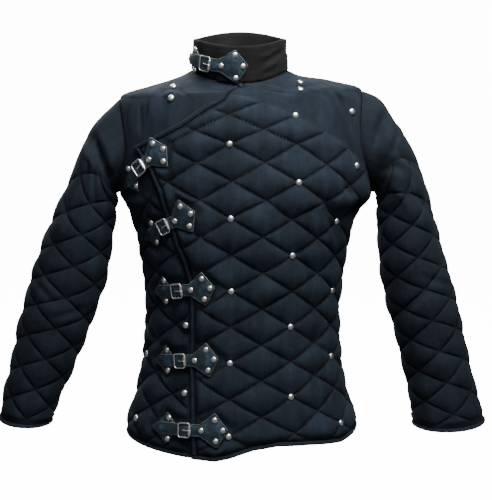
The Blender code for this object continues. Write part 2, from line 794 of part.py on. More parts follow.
def make_sleeve(name, sleeve, material):
    """Sleeve sewn into a tube: a ring of columns for each step down the arm."""
    end = sleeve["rows"][-1][0] - BINDING - SEAM_GAP
    first = sleeve["first_row"]
    half_row = SLEEVE_QUILT_HIGH / 2
    steps = [SEAM_GAP, 12, 26, 41]
    while steps[-1] < end - 6:
        steps.append(steps[-1] + half_row if steps[-1] >= first - 1 else first)
    steps[-1] = end
    twist = math.radians(sleeve["quilt_turn"])

    def place(row, column, height):
        along = steps[row]
        turn = math.tau * column / SLEEVE_COLUMNS + twist * smooth(along / first)
        return (sleeve_base(sleeve, along, turn) + sleeve_out(sleeve, along, turn) * height) * MM

    def height_at(row, column):
        up = (steps[row] - first) / SLEEVE_QUILT_HIGH
        free = smooth(up / 0.5) * smooth((end - steps[row] - 4) / 12)
        return SLEEVE_PUFF * puff_shape(column / 2, up) * free

    count = len(steps)
    inner_rows = [0, 1, 2, 3] + list(range(4, count - 2, 4)) + [count - 1]
    verts = [place(r, c, height_at(r, c)) for r in range(count) for c in range(SLEEVE_COLUMNS)]
    verts += [place(r, c, -WALL) for r in inner_rows for c in range(SLEEVE_COLUMNS)]
    base = count * SLEEVE_COLUMNS
    faces = []
    for r in range(count - 1):
        cell_row = (r - 4) // 2
        for c in range(SLEEVE_COLUMNS):
            a, b = r * SLEEVE_COLUMNS + c, r * SLEEVE_COLUMNS + (c + 1) % SLEEVE_COLUMNS
            d, e = a + SLEEVE_COLUMNS, b + SLEEVE_COLUMNS
            falling = (c // 2 + cell_row) % 2 == 0
            faces += [[a, b, e], [a, e, d]] if falling else [[a, b, d], [b, e, d]]
    for r in range(len(inner_rows) - 1):
        for c in range(SLEEVE_COLUMNS):
            a = base + r * SLEEVE_COLUMNS + c
            b = base + r * SLEEVE_COLUMNS + (c + 1) % SLEEVE_COLUMNS
            faces.append([b, a, a + SLEEVE_COLUMNS, b + SLEEVE_COLUMNS])
    last_outer = (count - 1) * SLEEVE_COLUMNS
    last_inner = base + (len(inner_rows) - 1) * SLEEVE_COLUMNS
    for c in range(SLEEVE_COLUMNS):
        following = (c + 1) % SLEEVE_COLUMNS
        faces.append([c, base + c, base + following, following])
        faces.append([last_outer + c, last_outer + following, last_inner + following, last_inner + c])
    return make_object(name, verts, faces, material)


def make_cuff_binding(name, sleeve, material):
    """Band round the cuff's edge."""
    end = sleeve["rows"][-1][0]
    section = ((-BINDING, -WALL), (-BINDING, 0.0), (-BINDING_CREST, BINDING_PROUD),
               (0, -BINDING_ROUND), (0, -WALL + BINDING_ROUND))
    verts, faces = [], []
    size = len(section)
    for c in range(SLEEVE_COLUMNS):
        turn = math.tau * c / SLEEVE_COLUMNS + math.radians(sleeve["quilt_turn"])
        for back, height in section:
            place = sleeve_base(sleeve, end + back, turn)
            verts.append((place + sleeve_out(sleeve, end + back, turn) * height) * MM)
        following = ((c + 1) % SLEEVE_COLUMNS) * size
        for i in range(size):
            j = (i + 1) % size
            faces.append([c * size + i, c * size + j, following + j, following + i])
    return make_object(name, verts, faces, material)


def make_bar(name, line, place, material):
    """Bound edge along a flat line: a rounded band that lies to the line's left."""
    section = ((0, -WALL + BINDING_ROUND), (0, -BINDING_ROUND), (BINDING_CREST, BINDING_PROUD),
               (BINDING, 0.0), (BINDING, -WALL))
    runs = [shift_line(line, away) for away, _ in section]
    size, count = len(section), len(line)
    verts = [place(*runs[i][k], section[i][1]) for k in range(count) for i in range(size)]
    faces = []
    for k in range(count - 1):
        for i in range(size):
            j = (i + 1) % size
            faces.append([k * size + i, k * size + j, (k + 1) * size + j, (k + 1) * size + i])
    faces.append(list(range(size)))
    faces.append([(count - 1) * size + i for i in reversed(range(size))])
    return make_object(name, verts, faces, material)


def make_bindings(material):
    """Bands on the left front's edge and round the hem."""
    gap = SEAM_GAP / 2

    def within(u, path, back):
        reach = edge_u(path, back) - gap
        return min(reach, max(-reach, u))

    def lapped(u, path, height):
        height += LIFT * lift_share((u, path))
        return torso_place(within(u, path, False), path, height)

    def plain(u, path, height):
        if inside((u, path), LEFT_REGION):
            height = min(height, -0.2)
        return torso_place(within(u, path, False), path, height)

    def rear(u, path, height):
        return torso_place(within(u, path, True), path, height, back=True)

    edge = split_line(OVERLAP_EDGE)
    floor = read_line(FRONT_HEM, edge[-1][0]) + BINDING + SEAM_GAP
    edge = [p for p in edge if floor + 4 < p[1] < NECK - 9]
    edge = [(edge[0][0], NECK - 7)] + edge + [(OVERLAP_EDGE[-1][0], floor)]
    make_bar("binding_lap_edge", edge, lapped, material)
    side = edge_u(BACK_HEM[1][1], True)
    runs = (
        ("binding_hem_left", FRONT_HEM, OVERLAP_EDGE[-1][0], side, lapped),
        ("binding_hem_right", FRONT_HEM, -side, UNDERLAP_EDGE[-1][0], plain),
        ("binding_hem_back", BACK_HEM, side, -side, rear),
    )
    for name, hem, start, end, place in runs:
        stops = [u for u, _ in hem if min(start, end) + 1 < u < max(start, end) - 1]
        stops = [start] + (stops if start < end else stops[::-1]) + [end]
        line = split_line([(u, read_line(hem, u)) for u in stops])
        if start > end:
            line = line[::-1]
        make_bar(name, line, place, material)


def make_collar(material):
    """Standing collar: one padded strip wound round the neck, its left end on top."""
    start, end = COLLAR_UNDER_END, COLLAR_OVER_END - 360
    count = round((start - end) / COLLAR_STEP)
    rows = [COLLAR_GAP + (COLLAR_HIGH - COLLAR_GAP) * i / COLLAR_ROWS for i in range(COLLAR_ROWS)]
    top, edge = COLLAR_HIGH, COLLAR_EDGE
    section = [(row, 0.0) for row in rows]
    section += [(top - edge, 0.0), (top, -edge), (top, -WALL + edge), (top - edge, -WALL)]
    section += [(row, -WALL) for row in reversed(rows)]
    size = len(section)
    verts, faces = [], []
    for k in range(count + 1):
        turn = start + (end - start) * k / count
        lift = LIFT * smooth((-turn - COLLAR_LIFT_FROM) / COLLAR_LIFT_EASE)
        u = math.radians(turn) * COLLAR_RINGS[0][1]
        verts += [collar_place(u, path, height + lift) for path, height in section]
        if k < count:
            for i in range(size):
                j = (i + 1) % size
                faces.append([k * size + i, k * size + j, (k + 1) * size + j, (k + 1) * size + i])
    faces.append(list(range(size)))
    faces.append([count * size + i for i in reversed(range(size))])
    return make_object("collar", verts, faces, material)


def local_place(place, u, path, direction):
    """Placing by distances along and across a strap instead of round and up the cloth."""
    turn = math.radians(direction)

    def at(along, across, height):
        return place(u + along * math.cos(turn) - across * math.sin(turn),
                     path + along * math.sin(turn) + across * math.cos(turn), height)
    return at


def strap_height(along):
    """Height of the strap's underside: clear of the bound edge, then down on the other plate."""
    high, low = LIFT + BINDING_PROUD + STRAP_CLEAR, PLATE_HEIGHT + LEATHER + STRAP_LOW_CLEAR
    return high + (low - high) * smooth((along - STRAP_FALL_FROM) / STRAP_FALL_LONG)


def make_leather(name, outline, points, at, height, rivets, material):
    """Leather cut to an outline, bent over what it lies on, with its domed rivets."""
    outline = split_line(list(outline) + [outline[0]], 24)[:-1]

    def outer(along, across):
        return at(along, across, height(along) + LEATHER)

    def inner(along, across):
        return at(along, across, height(along))

    piece = make_panel(name, outline, points, [], [], outer, inner, material)
    for along, across in rivets:
        rivet = make_dome("rivet", 6, RIVET_RADIUS, RIVET_TALL, at, along, across,
                          height(along) + LEATHER - RIVET_SUNK, material)
        join = piece.modifiers.new("rivet", "BOOLEAN")
        join.operation = "UNION"
        join.object = rivet
        rivet.hide_render = True
        rivet.display_type = "WIRE"
    return piece


def make_dome(name, sides, radius, tall, at, along, across, height, material):
    """Domed head of a stud or rivet, its flat underside at the given height."""
    centre = at(along, across, height)
    out = (at(along, across, height + 1) - centre).normalized()
    right = (at(along + 1, across, height) - centre).normalized()
    right = (right - out * right.dot(out)).normalized()
    up = out.cross(right)
    profile = ((1.0, 0.0), (1.0, 0.3), (0.7, 0.8)) if sides > 6 else ((1.0, 0.0), (0.8, 0.75))
    verts = []
    for share, rise in profile:
        for k in range(sides):
            turn = math.tau * k / sides
            flat = right * math.cos(turn) + up * math.sin(turn)
            verts.append(centre + (flat * radius * share + out * tall * rise) * MM)
    verts.append(centre + out * tall * MM)
    faces = [list(range(sides))[::-1]]
    for ring in range(len(profile) - 1):
        for k in range(sides):
            a, b = ring * sides + k, ring * sides + (k + 1) % sides
            faces.append([a, b, b + sides, a + sides])
    last = (len(profile) - 1) * sides
    faces += [[last + k, last + (k + 1) % sides, last + sides] for k in range(sides)]
    return make_object(name, verts, faces, material)


def box_faces(verts, low, high):
    """Adds a box's corners to a list and gives its faces."""
    base = len(verts)
    for x in (low[0], high[0]):
        for y in (low[1], high[1]):
            for z in (low[2], high[2]):
                verts.append((x, y, z))
    sides = ((0, 1, 3, 2), (4, 6, 7, 5), (0, 4, 5, 1), (2, 3, 7, 6), (0, 2, 6, 4), (1, 5, 7, 3))
    return [[base + i for i in side] for side in sides]


def make_buckle(name, at, metal):
    """Roller buckle with a middle bar that passes beneath the strap, and its tongue."""
    half_long, half_wide, bar = BUCKLE_LONG / 2, BUCKLE_WIDE / 2, BUCKLE_BAR
    centre = at(BUCKLE_AT, 0, 0)
    along = (at(BUCKLE_AT + 1, 0, 0) - at(BUCKLE_AT - 1, 0, 0)).normalized()
    across = at(BUCKLE_AT, 1, 0) - at(BUCKLE_AT, -1, 0)
    out = along.cross(across).normalized()
    across = out.cross(along)

    def put(points):
        return [centre + (along * p[0] + across * p[1] + out * p[2]) * MM for p in points]

    low = strap_height(BUCKLE_AT) + LEATHER + BUCKLE_CLEAR
    cut = BUCKLE_CORNER
    corners = []
    for sx, sy in ((-1, -1), (1, -1), (1, 1), (-1, 1)):
        pair = [(sx * (half_long - cut), sy * half_wide), (sx * half_long, sy * (half_wide - cut))]
        corners += pair if sx * sy < 0 else pair[::-1]
    inner = [((half_long - bar) / half_long * x, (half_wide - bar) / half_wide * y) for x, y in corners]
    ring = [(x, y, z) for z in (low, low + bar) for x, y in corners]
    ring += [(x, y, z) for z in (low, low + bar) for x, y in inner]
    faces = []
    for i in range(8):
        j = (i + 1) % 8
        faces += [[i, j, 8 + j, 8 + i], [16 + j, 16 + i, 24 + i, 24 + j],
                  [16 + i, 16 + j, j, i], [8 + i, 8 + j, 24 + j, 24 + i]]
    frame = make_object(name, put(ring), faces, metal)

    verts, faces = [], []
    floor = PLATE_HEIGHT + LEATHER + MIDDLE_BAR_CLEAR
    under = strap_height(BUCKLE_AT) - 2 * MIDDLE_BAR_CLEAR
    thick, reach = MIDDLE_BAR_HALF, half_wide - POST_IN
    faces = box_faces(verts, (-thick, -reach, floor), (thick, reach, under))
    staple = [make_object(name + "_bar", put(verts), faces, metal)]
    for side in (-1, 1):
        verts = []
        ends = sorted((side * (half_wide - POST_START), side * (half_wide - POST_END)))
        low_corner = (-POST_HALF, ends[0], floor + POST_RISE)
        faces = box_faces(verts, low_corner, (POST_HALF, ends[1], low + bar - POST_START))
        staple.append(make_object(name + "_post", put(verts), faces, metal))
    verts, faces = [], []
    sides, length = 6, half_wide - cut - ROLLER_CLEAR
    for end in (-length, length):
        for k in range(sides):
            turn = math.tau * (k + 0.5) / sides
            verts.append((-half_long + bar / 2 + ROLLER_RADIUS * math.cos(turn), end,
                          low + bar / 2 + ROLLER_UP + ROLLER_RADIUS * math.sin(turn)))
    faces = [list(range(sides)), list(range(2 * sides - 1, sides - 1, -1))]
    faces += [[k, (k + 1) % sides, sides + (k + 1) % sides, sides + k] for k in range(sides)]
    staple.append(make_object(name + "_roller", put(verts), faces, metal))
    for piece in staple:
        join = frame.modifiers.new("join", "BOOLEAN")
        join.operation = "UNION"
        join.object = piece
        piece.hide_render = True
        piece.display_type = "WIRE"

    top = low + bar / 2 + ROLLER_RADIUS + 2 * ROLLER_UP
    spine = [(x, low + rise) for x, rise in TONGUE_FOOT]
    spine += [(-half_long + x, top + rise) for x, rise in TONGUE_TIP]
    verts, faces = [], []
    for x, z in spine:
        for y, rise in TONGUE_SECTION:
            verts.append((x, y, z + rise))
    for k in range(len(spine) - 1):
        for i in range(4):
            j = (i + 1) % 4
            faces.append([4 * k + i, 4 * k + j, 4 * k + 4 + j, 4 * k + 4 + i])
    faces += [[0, 1, 2, 3][::-1], [len(verts) - 4 + i for i in range(4)]]
    make_object(name.replace("buckle", "tongue"), put(verts), faces, metal)


def make_closure(name, place, u, path, direction, leather, metal):
    """One strap with its plate, the plate that holds the buckle, and the buckle."""
    at = local_place(place, u, path, direction)
    tip = STRAP_REACH
    tall = COLLAR_PLATE_HALF_TALL if place is collar_place else PLATE_HALF_TALL
    bends = (PLATE_FRONT, 44, BUCKLE_AT, 70, 84, 95, tip - STRAP_POINT)
    strap = [(-PLATE_BACK, 0), (0, -tall)] + [(x, -STRAP_HALF) for x in bends] + [(tip, 0)]
    strap += [(x, STRAP_HALF) for x in bends[::-1]] + [(0, tall)]
    points = [(0, 16), (0, -16), (0, 0), (-10, 0), (14, 9), (14, -9)] + [(x, 0) for x in bends]
    make_leather(name + "_strap", strap, points, at, strap_height, STRAP_RIVETS, leather)

    middle, half = BUCKLE_PLATE_AT, BUCKLE_PLATE_HALF_LONG
    keeper = BUCKLE_AT - 5
    tall = min(tall - 3, BUCKLE_PLATE_HALF_TALL)
    lower = [(x, -KEEPER_HALF) for x in (keeper, 66, middle - half + 12)]
    plate = lower + [(middle, -tall), (middle + half, 0), (middle, tall)]
    plate += [(x, -y) for x, y in lower[::-1]]
    points = [(x, 0) for x in (66, 84, middle, middle + 14)] + [(middle, 14), (middle, -14)]
    make_leather(name + "_plate", plate, points, at, lambda along: PLATE_HEIGHT, PLATE_RIVETS, leather)
    make_buckle(name + "_buckle", at, metal)


def make_studs(metal, left, right):
    """Nickel studs of the front, each set down on the cloth beneath it."""
    trees = {True: cloth_tree(left), False: cloth_tree(right)}
    points = [quilt_point(column, first + step * k, FRONT_COLUMN)
              for column, first, step, count in STUD_ROWS for k in range(count)]
    for number, (u, path) in enumerate(points + list(STUD_POINTS), 1):
        height = cloth_height(trees[inside((u, path), LEFT_REGION)], u, path)
        make_dome(f"stud_{number:02d}", 8, STUD_RADIUS, STUD_TALL, torso_place, u, path, height, metal)


def cloth_tree(panel):
    mesh = panel.data
    return BVHTree.FromPolygons([v.co for v in mesh.vertices], [p.vertices for p in mesh.polygons])


def cloth_height(tree, u, path):
    """Height at which a stud's flat underside just clears the cloth."""
    start = torso_place(u, path, STUD_RAY)
    out = (start - torso_place(u, path, 0.0)).normalized()
    side = out.cross(Vector((0, 0, 1))).normalized()
    up = side.cross(out)
    lowest = 1.0
    for k in range(17):
        reach = STUD_RADIUS * MM * ((k + 7) // 8) / 2
        turn = math.tau * k / 8
        shift = (side * math.cos(turn) + up * math.sin(turn)) * reach
        lowest = min(lowest, tree.ray_cast(start + shift, -out)[3])
    return STUD_RAY - lowest / MM + STUD_CLEAR


def main():
    for item in list(bpy.data.objects):
        bpy.data.objects.remove(item)
    cotton = make_material("black_cotton", "17191f", 0.9)
    collar_cotton = make_material("brown_black_cotton", "1f1b1b", 0.9)
    tape = make_material("cotton_tape", "14161b", 0.85)
    leather = make_material("black_leather", "22282d", 0.42)
    nickel = make_material("nickel", "c9ccce", 0.25, metallic=1.0)

    left = make_left_front(cotton)
    right = make_right_front(cotton)
    make_back(cotton)
    for side, sleeve in SLEEVES.items():
        make_sleeve("sleeve_" + side, sleeve, cotton)
        make_cuff_binding("binding_cuff_" + side, sleeve, tape)
    make_collar(collar_cotton)
    make_bindings(tape)
    for name, u, path, direction in CLOSURES:
        make_closure(name, torso_place, u, path, direction, leather, nickel)
    name, u, path, direction = COLLAR_CLOSURE
    make_closure(name, collar_place, u, path, direction, leather, nickel)
    make_studs(nickel, left, right)


main()
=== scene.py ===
import math

import bmesh
import bpy
import numpy as np
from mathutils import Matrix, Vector
from mathutils.geometry import delaunay_2d_cdt


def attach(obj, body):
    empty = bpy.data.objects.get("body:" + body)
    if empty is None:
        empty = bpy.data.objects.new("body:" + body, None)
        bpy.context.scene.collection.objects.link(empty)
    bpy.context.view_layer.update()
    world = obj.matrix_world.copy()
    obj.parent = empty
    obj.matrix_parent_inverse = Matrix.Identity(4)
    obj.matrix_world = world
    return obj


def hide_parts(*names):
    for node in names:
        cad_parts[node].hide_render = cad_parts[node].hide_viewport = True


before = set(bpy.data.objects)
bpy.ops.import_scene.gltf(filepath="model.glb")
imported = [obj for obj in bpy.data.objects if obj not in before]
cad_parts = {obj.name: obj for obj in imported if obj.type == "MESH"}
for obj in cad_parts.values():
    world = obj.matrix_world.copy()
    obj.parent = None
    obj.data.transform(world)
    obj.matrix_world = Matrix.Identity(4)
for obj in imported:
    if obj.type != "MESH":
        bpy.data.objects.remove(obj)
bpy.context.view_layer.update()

# Right front
# The real piece is two layers of black cotton canvas with padding between them, quilted
# through in diamonds. It runs on, plain, under the left front. All body panels are cut on
# one worn shape, given here by rings from the hem up to the neck.
MM = 0.001
WALL, PUFF, LIFT = 5.0, 7.2, 6.4
BINDING, SEAM_GAP = 8.0, 0.5
NECK, ARM_TOP, ARM_BOTTOM, ARM_HALF, ARM_BOW = 122.0, -20.0, -205.0, 62.0, 12.0
ARM_MIDDLE, ARM_HIGH = (ARM_TOP + ARM_BOTTOM) / 2, (ARM_TOP - ARM_BOTTOM) / 2
BODY_RINGS = (
    # path, height, half width, front, back, radius, centre x, front drop, back rise
    (-700, -700, 231, 170, 152, 206, 0, 0, 0),
    (-655, -655, 223, 165, 148, 203, 0, 0, 0),
    (-600, -600, 205, 156, 139, 197, -1, 0, 0),
    (-520, -520, 189, 145, 126, 190, 0, 0, 0),
    (-430, -430, 184, 139, 118, 187, 1, 0, 0),
    (-340, -340, 191, 140, 122, 191, 3, 0, 0),
    (-265, -265, 206, 143, 128, 212, 3, 0, 0),
    (-232, -232, 217, 143, 129, 221, 2, 0, 0),
    (-205, -205, 240, 142, 130, 230, 7, 0, 0),
    (-110, -110, 230, 132, 126, 232, 2, 0, 0),
    (-20, -20, 227, 108, 106, 222, -2, 0, 0),
    (40, 0, 172, 96, 95, 165, -3, 11, 5),
    (100, 14, 112, 84, 82, 110, -4, 17, 10),
    (122, 24, 91, 78, 74, 92, -4, 24, 8),
)
LAP_EDGE = ((-2, 122), (-2, 44), (-36, -30), (-106, -70), (-160, -91), (-212, -108),
            (-178, -146), (-160, -192), (-150, -240), (-134, -285), (-114, -320), (-100, -362),
            (-98, -524), (-84, -673.5))
UNDER_EDGE = ((36, 122), (32, 44), (12, -30), (-20, -74), (-80, -106), (-108, -190), (-80, -290),
              (-55, -362), (-50, -524), (-38, -690))
FRONT_HEM = ((-340, -676), (-200, -678), (-84, -682), (-44, -683.5), (-17, -676.5), (20, -663.5),
             (60, -658), (118, -662), (200, -672), (340, -662))
BACK_HEM = ((-340, -676), (0, -672), (340, -662))
# Closures: middle of the strap's plate (u, path) and the strap's direction in degrees
CLOSURES = (("closure_1", -150, -119, 212), ("closure_2", -106, -233, 203),
            ("closure_3", -71, -366, 188), ("closure_4", -62, -498, 187),
            ("closure_5", -43, -626, 184))


def smooth(x):
    x = np.clip(x, 0, 1)
    return x * x * (3 - 2 * x)


def curve_through(rows):
    """Smooth curve through a table's rows, read by its first column."""
    rows = np.array(rows, float)
    at, values = rows[:, 0], rows[:, 1:]
    rise = np.diff(values, axis=0) / np.diff(at)[:, None]
    slope = np.zeros_like(values)
    slope[0], slope[-1] = rise[0], rise[-1]
    low, high = rise[:-1], rise[1:]
    total = np.where(low + high == 0, 1, low + high)
    slope[1:-1] = np.where(low * high > 0, 2 * low * high / total, 0)

    def read(x):
        x = np.clip(np.asarray(x, float), at[0], at[-1])
        i = np.clip(np.searchsorted(at, x, side="right") - 1, 0, len(at) - 2)
        step = (at[i + 1] - at[i])[..., None]
        t = (x - at[i])[..., None] / step
        return ((2 * t**3 - 3 * t**2 + 1) * values[i] + (t**3 - 2 * t**2 + t) * slope[i] * step
                + (3 * t**2 - 2 * t**3) * values[i + 1] + (t**3 - t**2) * slope[i + 1] * step)
    return read


body_rings = curve_through(BODY_RINGS)


def unit(v):
    return v / np.maximum(np.linalg.norm(v, axis=-1, keepdims=True), 1e-9)


def body_ring(path, back):
    height, wide, front, rear, radius, centre, drop, rise = np.moveaxis(body_rings(path), -1, 0)
    share = np.sqrt(np.maximum(0, 1 - ((path - ARM_MIDDLE) / ARM_HIGH)**2))
    depth = rear if back else front
    reach = ARM_HALF * share / depth
    wide = (wide - ARM_BOW * share**2) / np.sqrt(1 - reach**2)
    return height, wide, depth, radius, centre, (rise if back else -drop), reach


def edge_u(path, back):
    """How far round a panel reaches at a height."""
    ring = body_ring(np.asarray(path, float), back)
    return ring[3] * np.arccos(ring[6])


def shoulder_lean(x, path):
    """The wearer's left shoulder sits a little higher than the right one."""
    return 0.03 * x * smooth((path - ARM_BOTTOM) / 150) * (1 - smooth((path - 50) / (NECK - 50)))


def body_base(u, path, back):
    height, wide, depth, radius, centre, tilt, _ = body_ring(path, back)
    turn = u / radius
    x = centre + wide * np.sin(turn)
    y = (1 if back else -1) * depth * np.cos(turn)
    return np.stack([x, y, height + tilt * np.cos(turn)**2 + shoulder_lean(x, path)], -1)


def armhole_direction(point):
    out = np.stack([point[..., 0] * 0, point[..., 1] / ARM_HALF**2,
                    (point[..., 2] - ARM_MIDDLE) / ARM_HIGH**2], -1)
    return unit(out)


def body_out(u, path, back):
    """Outward direction, turned to meet the collar and the sleeves squarely."""
    edge = edge_u(path, back)
    inner = np.clip(u, -edge + 1, edge - 1)
    point = body_base(u, path, back)
    across = body_base(inner + 1, path, back) - body_base(inner - 1, path, back)
    up = (body_base(u, np.minimum(path + 1, NECK), back)
          - body_base(u, np.maximum(path - 1, -700), back))
    out = unit(np.cross(across, up)) * (-1 if back else 1)
    t = smooth((path - 85) / (NECK - 85))[..., None]
    out = out * (1 - t) + unit(out * (1, 1, 0)) * t
    away = np.hypot((point[..., 2] - ARM_MIDDLE) / ARM_HIGH, point[..., 1] / ARM_HALF)
    near = smooth(1 - abs(away - 1) / 0.4) * smooth((abs(point[..., 0]) - 170) / 40)
    return unit(out * (1 - near[..., None]) + armhole_direction(point) * near[..., None])


def on_body(u, path, height, back=False):
    """Points at a height over the cloth, in metres."""
    u, path, height = np.broadcast_arrays(*(np.asarray(v, float) for v in (u, path, height)))
    return (body_base(u, path, back) + body_out(u, path, back) * height[..., None]) * MM


def distance_to(points, line, closed=False):
    """Shortest way from flat points to a line."""
    line = np.array(list(line) + ([line[0]] if closed else []), float)
    a, d = line[:-1], np.diff(line, axis=0)
    best = np.full(len(points), 1e9)
    for (x, y), (dx, dy) in zip(a, d):
        span = max(dx * dx + dy * dy, 1e-12)
        t = np.clip(((points[:, 0] - x) * dx + (points[:, 1] - y) * dy) / span, 0, 1)
        best = np.minimum(best, np.hypot(x + t * dx - points[:, 0], y + t * dy - points[:, 1]))
    return best


def inside(points, outline):
    outline = np.array(outline, float)
    hit = np.zeros(len(points), bool)
    for (x0, y0), (x1, y1) in zip(outline, np.roll(outline, -1, axis=0)):
        if y0 != y1:
            crosses = (y0 > points[:, 1]) != (y1 > points[:, 1])
            hit ^= crosses & (points[:, 0] < x0 + (x1 - x0) * (points[:, 1] - y0) / (y1 - y0))
    return hit


def split_line(line, step):
    points = []
    for (x0, y0), (x1, y1) in zip(line, line[1:]):
        count = max(1, math.ceil(math.hypot(x1 - x0, y1 - y0) / step))
        points += [(x0 + (x1 - x0) * i / count, y0 + (y1 - y0) * i / count) for i in range(count)]
    return points + [tuple(line[-1])]


def stations(line, step):
    """Places along a line: which stretch, and how far along it."""
    spans = np.linalg.norm(np.diff(np.array(line, float), axis=0), axis=1)
    counts = [max(1, math.ceil(span / step)) for span in spans]
    return [(i, k / n) for i, n in enumerate(counts) for k in range(n)] + [(len(spans) - 1, 1.0)]


def read_stations(line, stops):
    line = np.array(line, float)
    return np.array([line[i] * (1 - t) + line[i + 1] * t for i, t in stops])


def shift_line(line, away):
    """The same line moved to its left."""
    line = np.array(line, float)
    ways = unit(np.diff(line, axis=0))[:, ::-1] * (-1, 1)
    first = np.vstack([ways[:1], ways])
    middle = unit(first + np.vstack([ways, ways[-1:]]))
    return line + middle * (away / (middle * first).sum(1))[:, None]


def read_line(line, at):
    line = np.array(line, float)
    return float(np.interp(at, line[:, 0], line[:, 1]))


def side_outline(back, side, hem):
    """From the neck over the shoulder, round the armhole and down the side to the hem."""
    gap = SEAM_GAP / 2
    shoulder = np.linspace(NECK, 2 + ARM_TOP, 24)
    armhole = ARM_MIDDLE + ARM_HIGH * np.cos(np.pi * np.arange(33) / 32)
    end = read_line(hem, side * float(edge_u(-670, back))) + BINDING + SEAM_GAP
    seam = np.linspace(ARM_BOTTOM, end, 80)[1:]
    runs = [(shoulder, gap), (armhole, 0), (seam, gap)]
    return [(side * (float(edge_u(p, back)) - g), p) for run, g in runs for p in run]


def hem_line(hem, start, end, raised=BINDING + SEAM_GAP):
    stops = [u for u, _ in hem if min(start, end) < u < max(start, end)]
    stops = [start] + (stops if start < end else stops[::-1]) + [end]
    return split_line([(u, read_line(hem, u) + raised) for u in stops], 6)


def closed_outline(*runs):
    outline = []
    for point in [p for run in runs for p in run]:
        if not outline or math.hypot(point[0] - outline[-1][0], point[1] - outline[-1][1]) > 1.5:
            outline.append((float(point[0]), float(point[1])))
    if math.hypot(outline[0][0] - outline[-1][0], outline[0][1] - outline[-1][1]) < 1.5:
        outline.pop()
    return outline


def flat_triangles(outline, points, hole=None):
    """Triangles that fill an outline through all its points, less those in a hole."""
    loops = [list(range(len(outline)))]
    places = [Vector(p) for p in outline]
    edges = [(i, (i + 1) % len(outline)) for i in range(len(outline))]
    if hole is not None:
        first = len(places)
        places += [Vector(p) for p in hole]
        edges += [(first + i, first + (i + 1) % len(hole)) for i in range(len(hole))]
    places += [Vector(p) for p in points]
    made, _, faces, *_ = delaunay_2d_cdt(places, edges, loops, 1, 1e-6)
    if len(made) != len(places):
        raise ValueError("a panel's lines cross its outline")
    if hole is None:
        return [tuple(f) for f in faces]
    middle = np.array([sum((places[i] for i in f), Vector((0, 0))) / 3 for f in faces])
    return [tuple(f) for f, cut in zip(faces, inside(middle, hole)) if not cut]


# Quilting: half a diamond's width and height, and where one crossing lies
QUILT_WIDE, QUILT_HIGH, QUILT_HIGH_TOP, QUILT_ROW, QUILT_DROOP = 57.5, 33.25, 22.0, -104.5, 7.5
FRONT_COLUMN, YOKE = -22.0, 4.0
# The rows droop from their column out: width and height of the full droop, and its easing
DROOP_WIDE, DROOP_FOOT, DROOP_EASE = 172, 560, 110
# Quilting is worked out a little beyond the panels
QUILT_REACH, QUILT_FLOOR = 380, -700
# Steps across one diamond, closer together at its stitched sides
QUILT_STEPS = (0, 0.035, 0.08, 0.14, 0.21, 0.3, 0.4, 0.5, 0.6, 0.7, 0.79, 0.86, 0.92, 0.965)


def droop(u, path, column):
    return QUILT_DROOP * ((u - column) / DROOP_WIDE)**2 * smooth((path + DROOP_FOOT) / DROOP_EASE)


def quilt_place(u, path, column):
    row = path + droop(u, path, column) - QUILT_ROW
    return (u - column) / QUILT_WIDE, row / np.where(row < 0, QUILT_HIGH, QUILT_HIGH_TOP)


def quilt_point(across, up, column):
    u = column + across * QUILT_WIDE
    row = QUILT_ROW + up * np.where(up < 0, QUILT_HIGH, QUILT_HIGH_TOP)
    return u, row - droop(u, row, column)


def in_reach(u, path):
    return (abs(u) < QUILT_REACH) & (path > QUILT_FLOOR) & (path < NECK)


def puff_shape(across, up):
    """Height of a padded diamond: 0 on its stitched sides, 1 in its middle."""
    one, other = (across + up) / 2, (across - up) / 2
    return np.abs(np.sin(np.pi * one) * np.sin(np.pi * other))**0.42


def quilt_points(column, outline, margin, step=1):
    """Flat points that follow the stitched lines."""
    parts = np.array([k + s for k in range(-20, 20) for s in QUILT_STEPS[::step]])
    one, other = np.meshgrid(parts, parts)
    across, up = (one + other).ravel(), (one - other).ravel()
    u, path = quilt_point(across, up, column)
    points = np.stack([u, path], 1)[in_reach(u, path)]
    points = points[inside(points, outline)]
    return points[distance_to(points, outline, True) > margin]


def ripple(u, path, length, seed):
    """Gentle unevenness of worn cloth, from a few crossing waves, about -1 to 1."""
    chance = np.random.default_rng(seed)
    total = 0
    for _ in range(9):
        turn, phase, share = chance.uniform(0, np.pi), chance.uniform(0, 6.28), chance.uniform(0.7, 1.6)
        total = total + np.sin((u * np.cos(turn) + path * np.sin(turn)) * 6.28 / length / share + phase)
    return total / 4.5


# Depth and length of the cloth's waves, share and length of the padding's unevenness, and
# depth and reach to which a seam draws an edge in
WAVE_DEEP, WAVE_LONG, UNEVEN, UNEVEN_LONG, SEAM_DEEP, SEAM_REACH = 1.1, 60, 0.14, 90, 1.0, 4


def padding_share(u, path, seed):
    return 1 + UNEVEN * ripple(u, path, UNEVEN_LONG, seed)


def drawn_in(flat, outline):
    return -SEAM_DEEP * smooth(1 - distance_to(flat, outline, True) / SEAM_REACH)


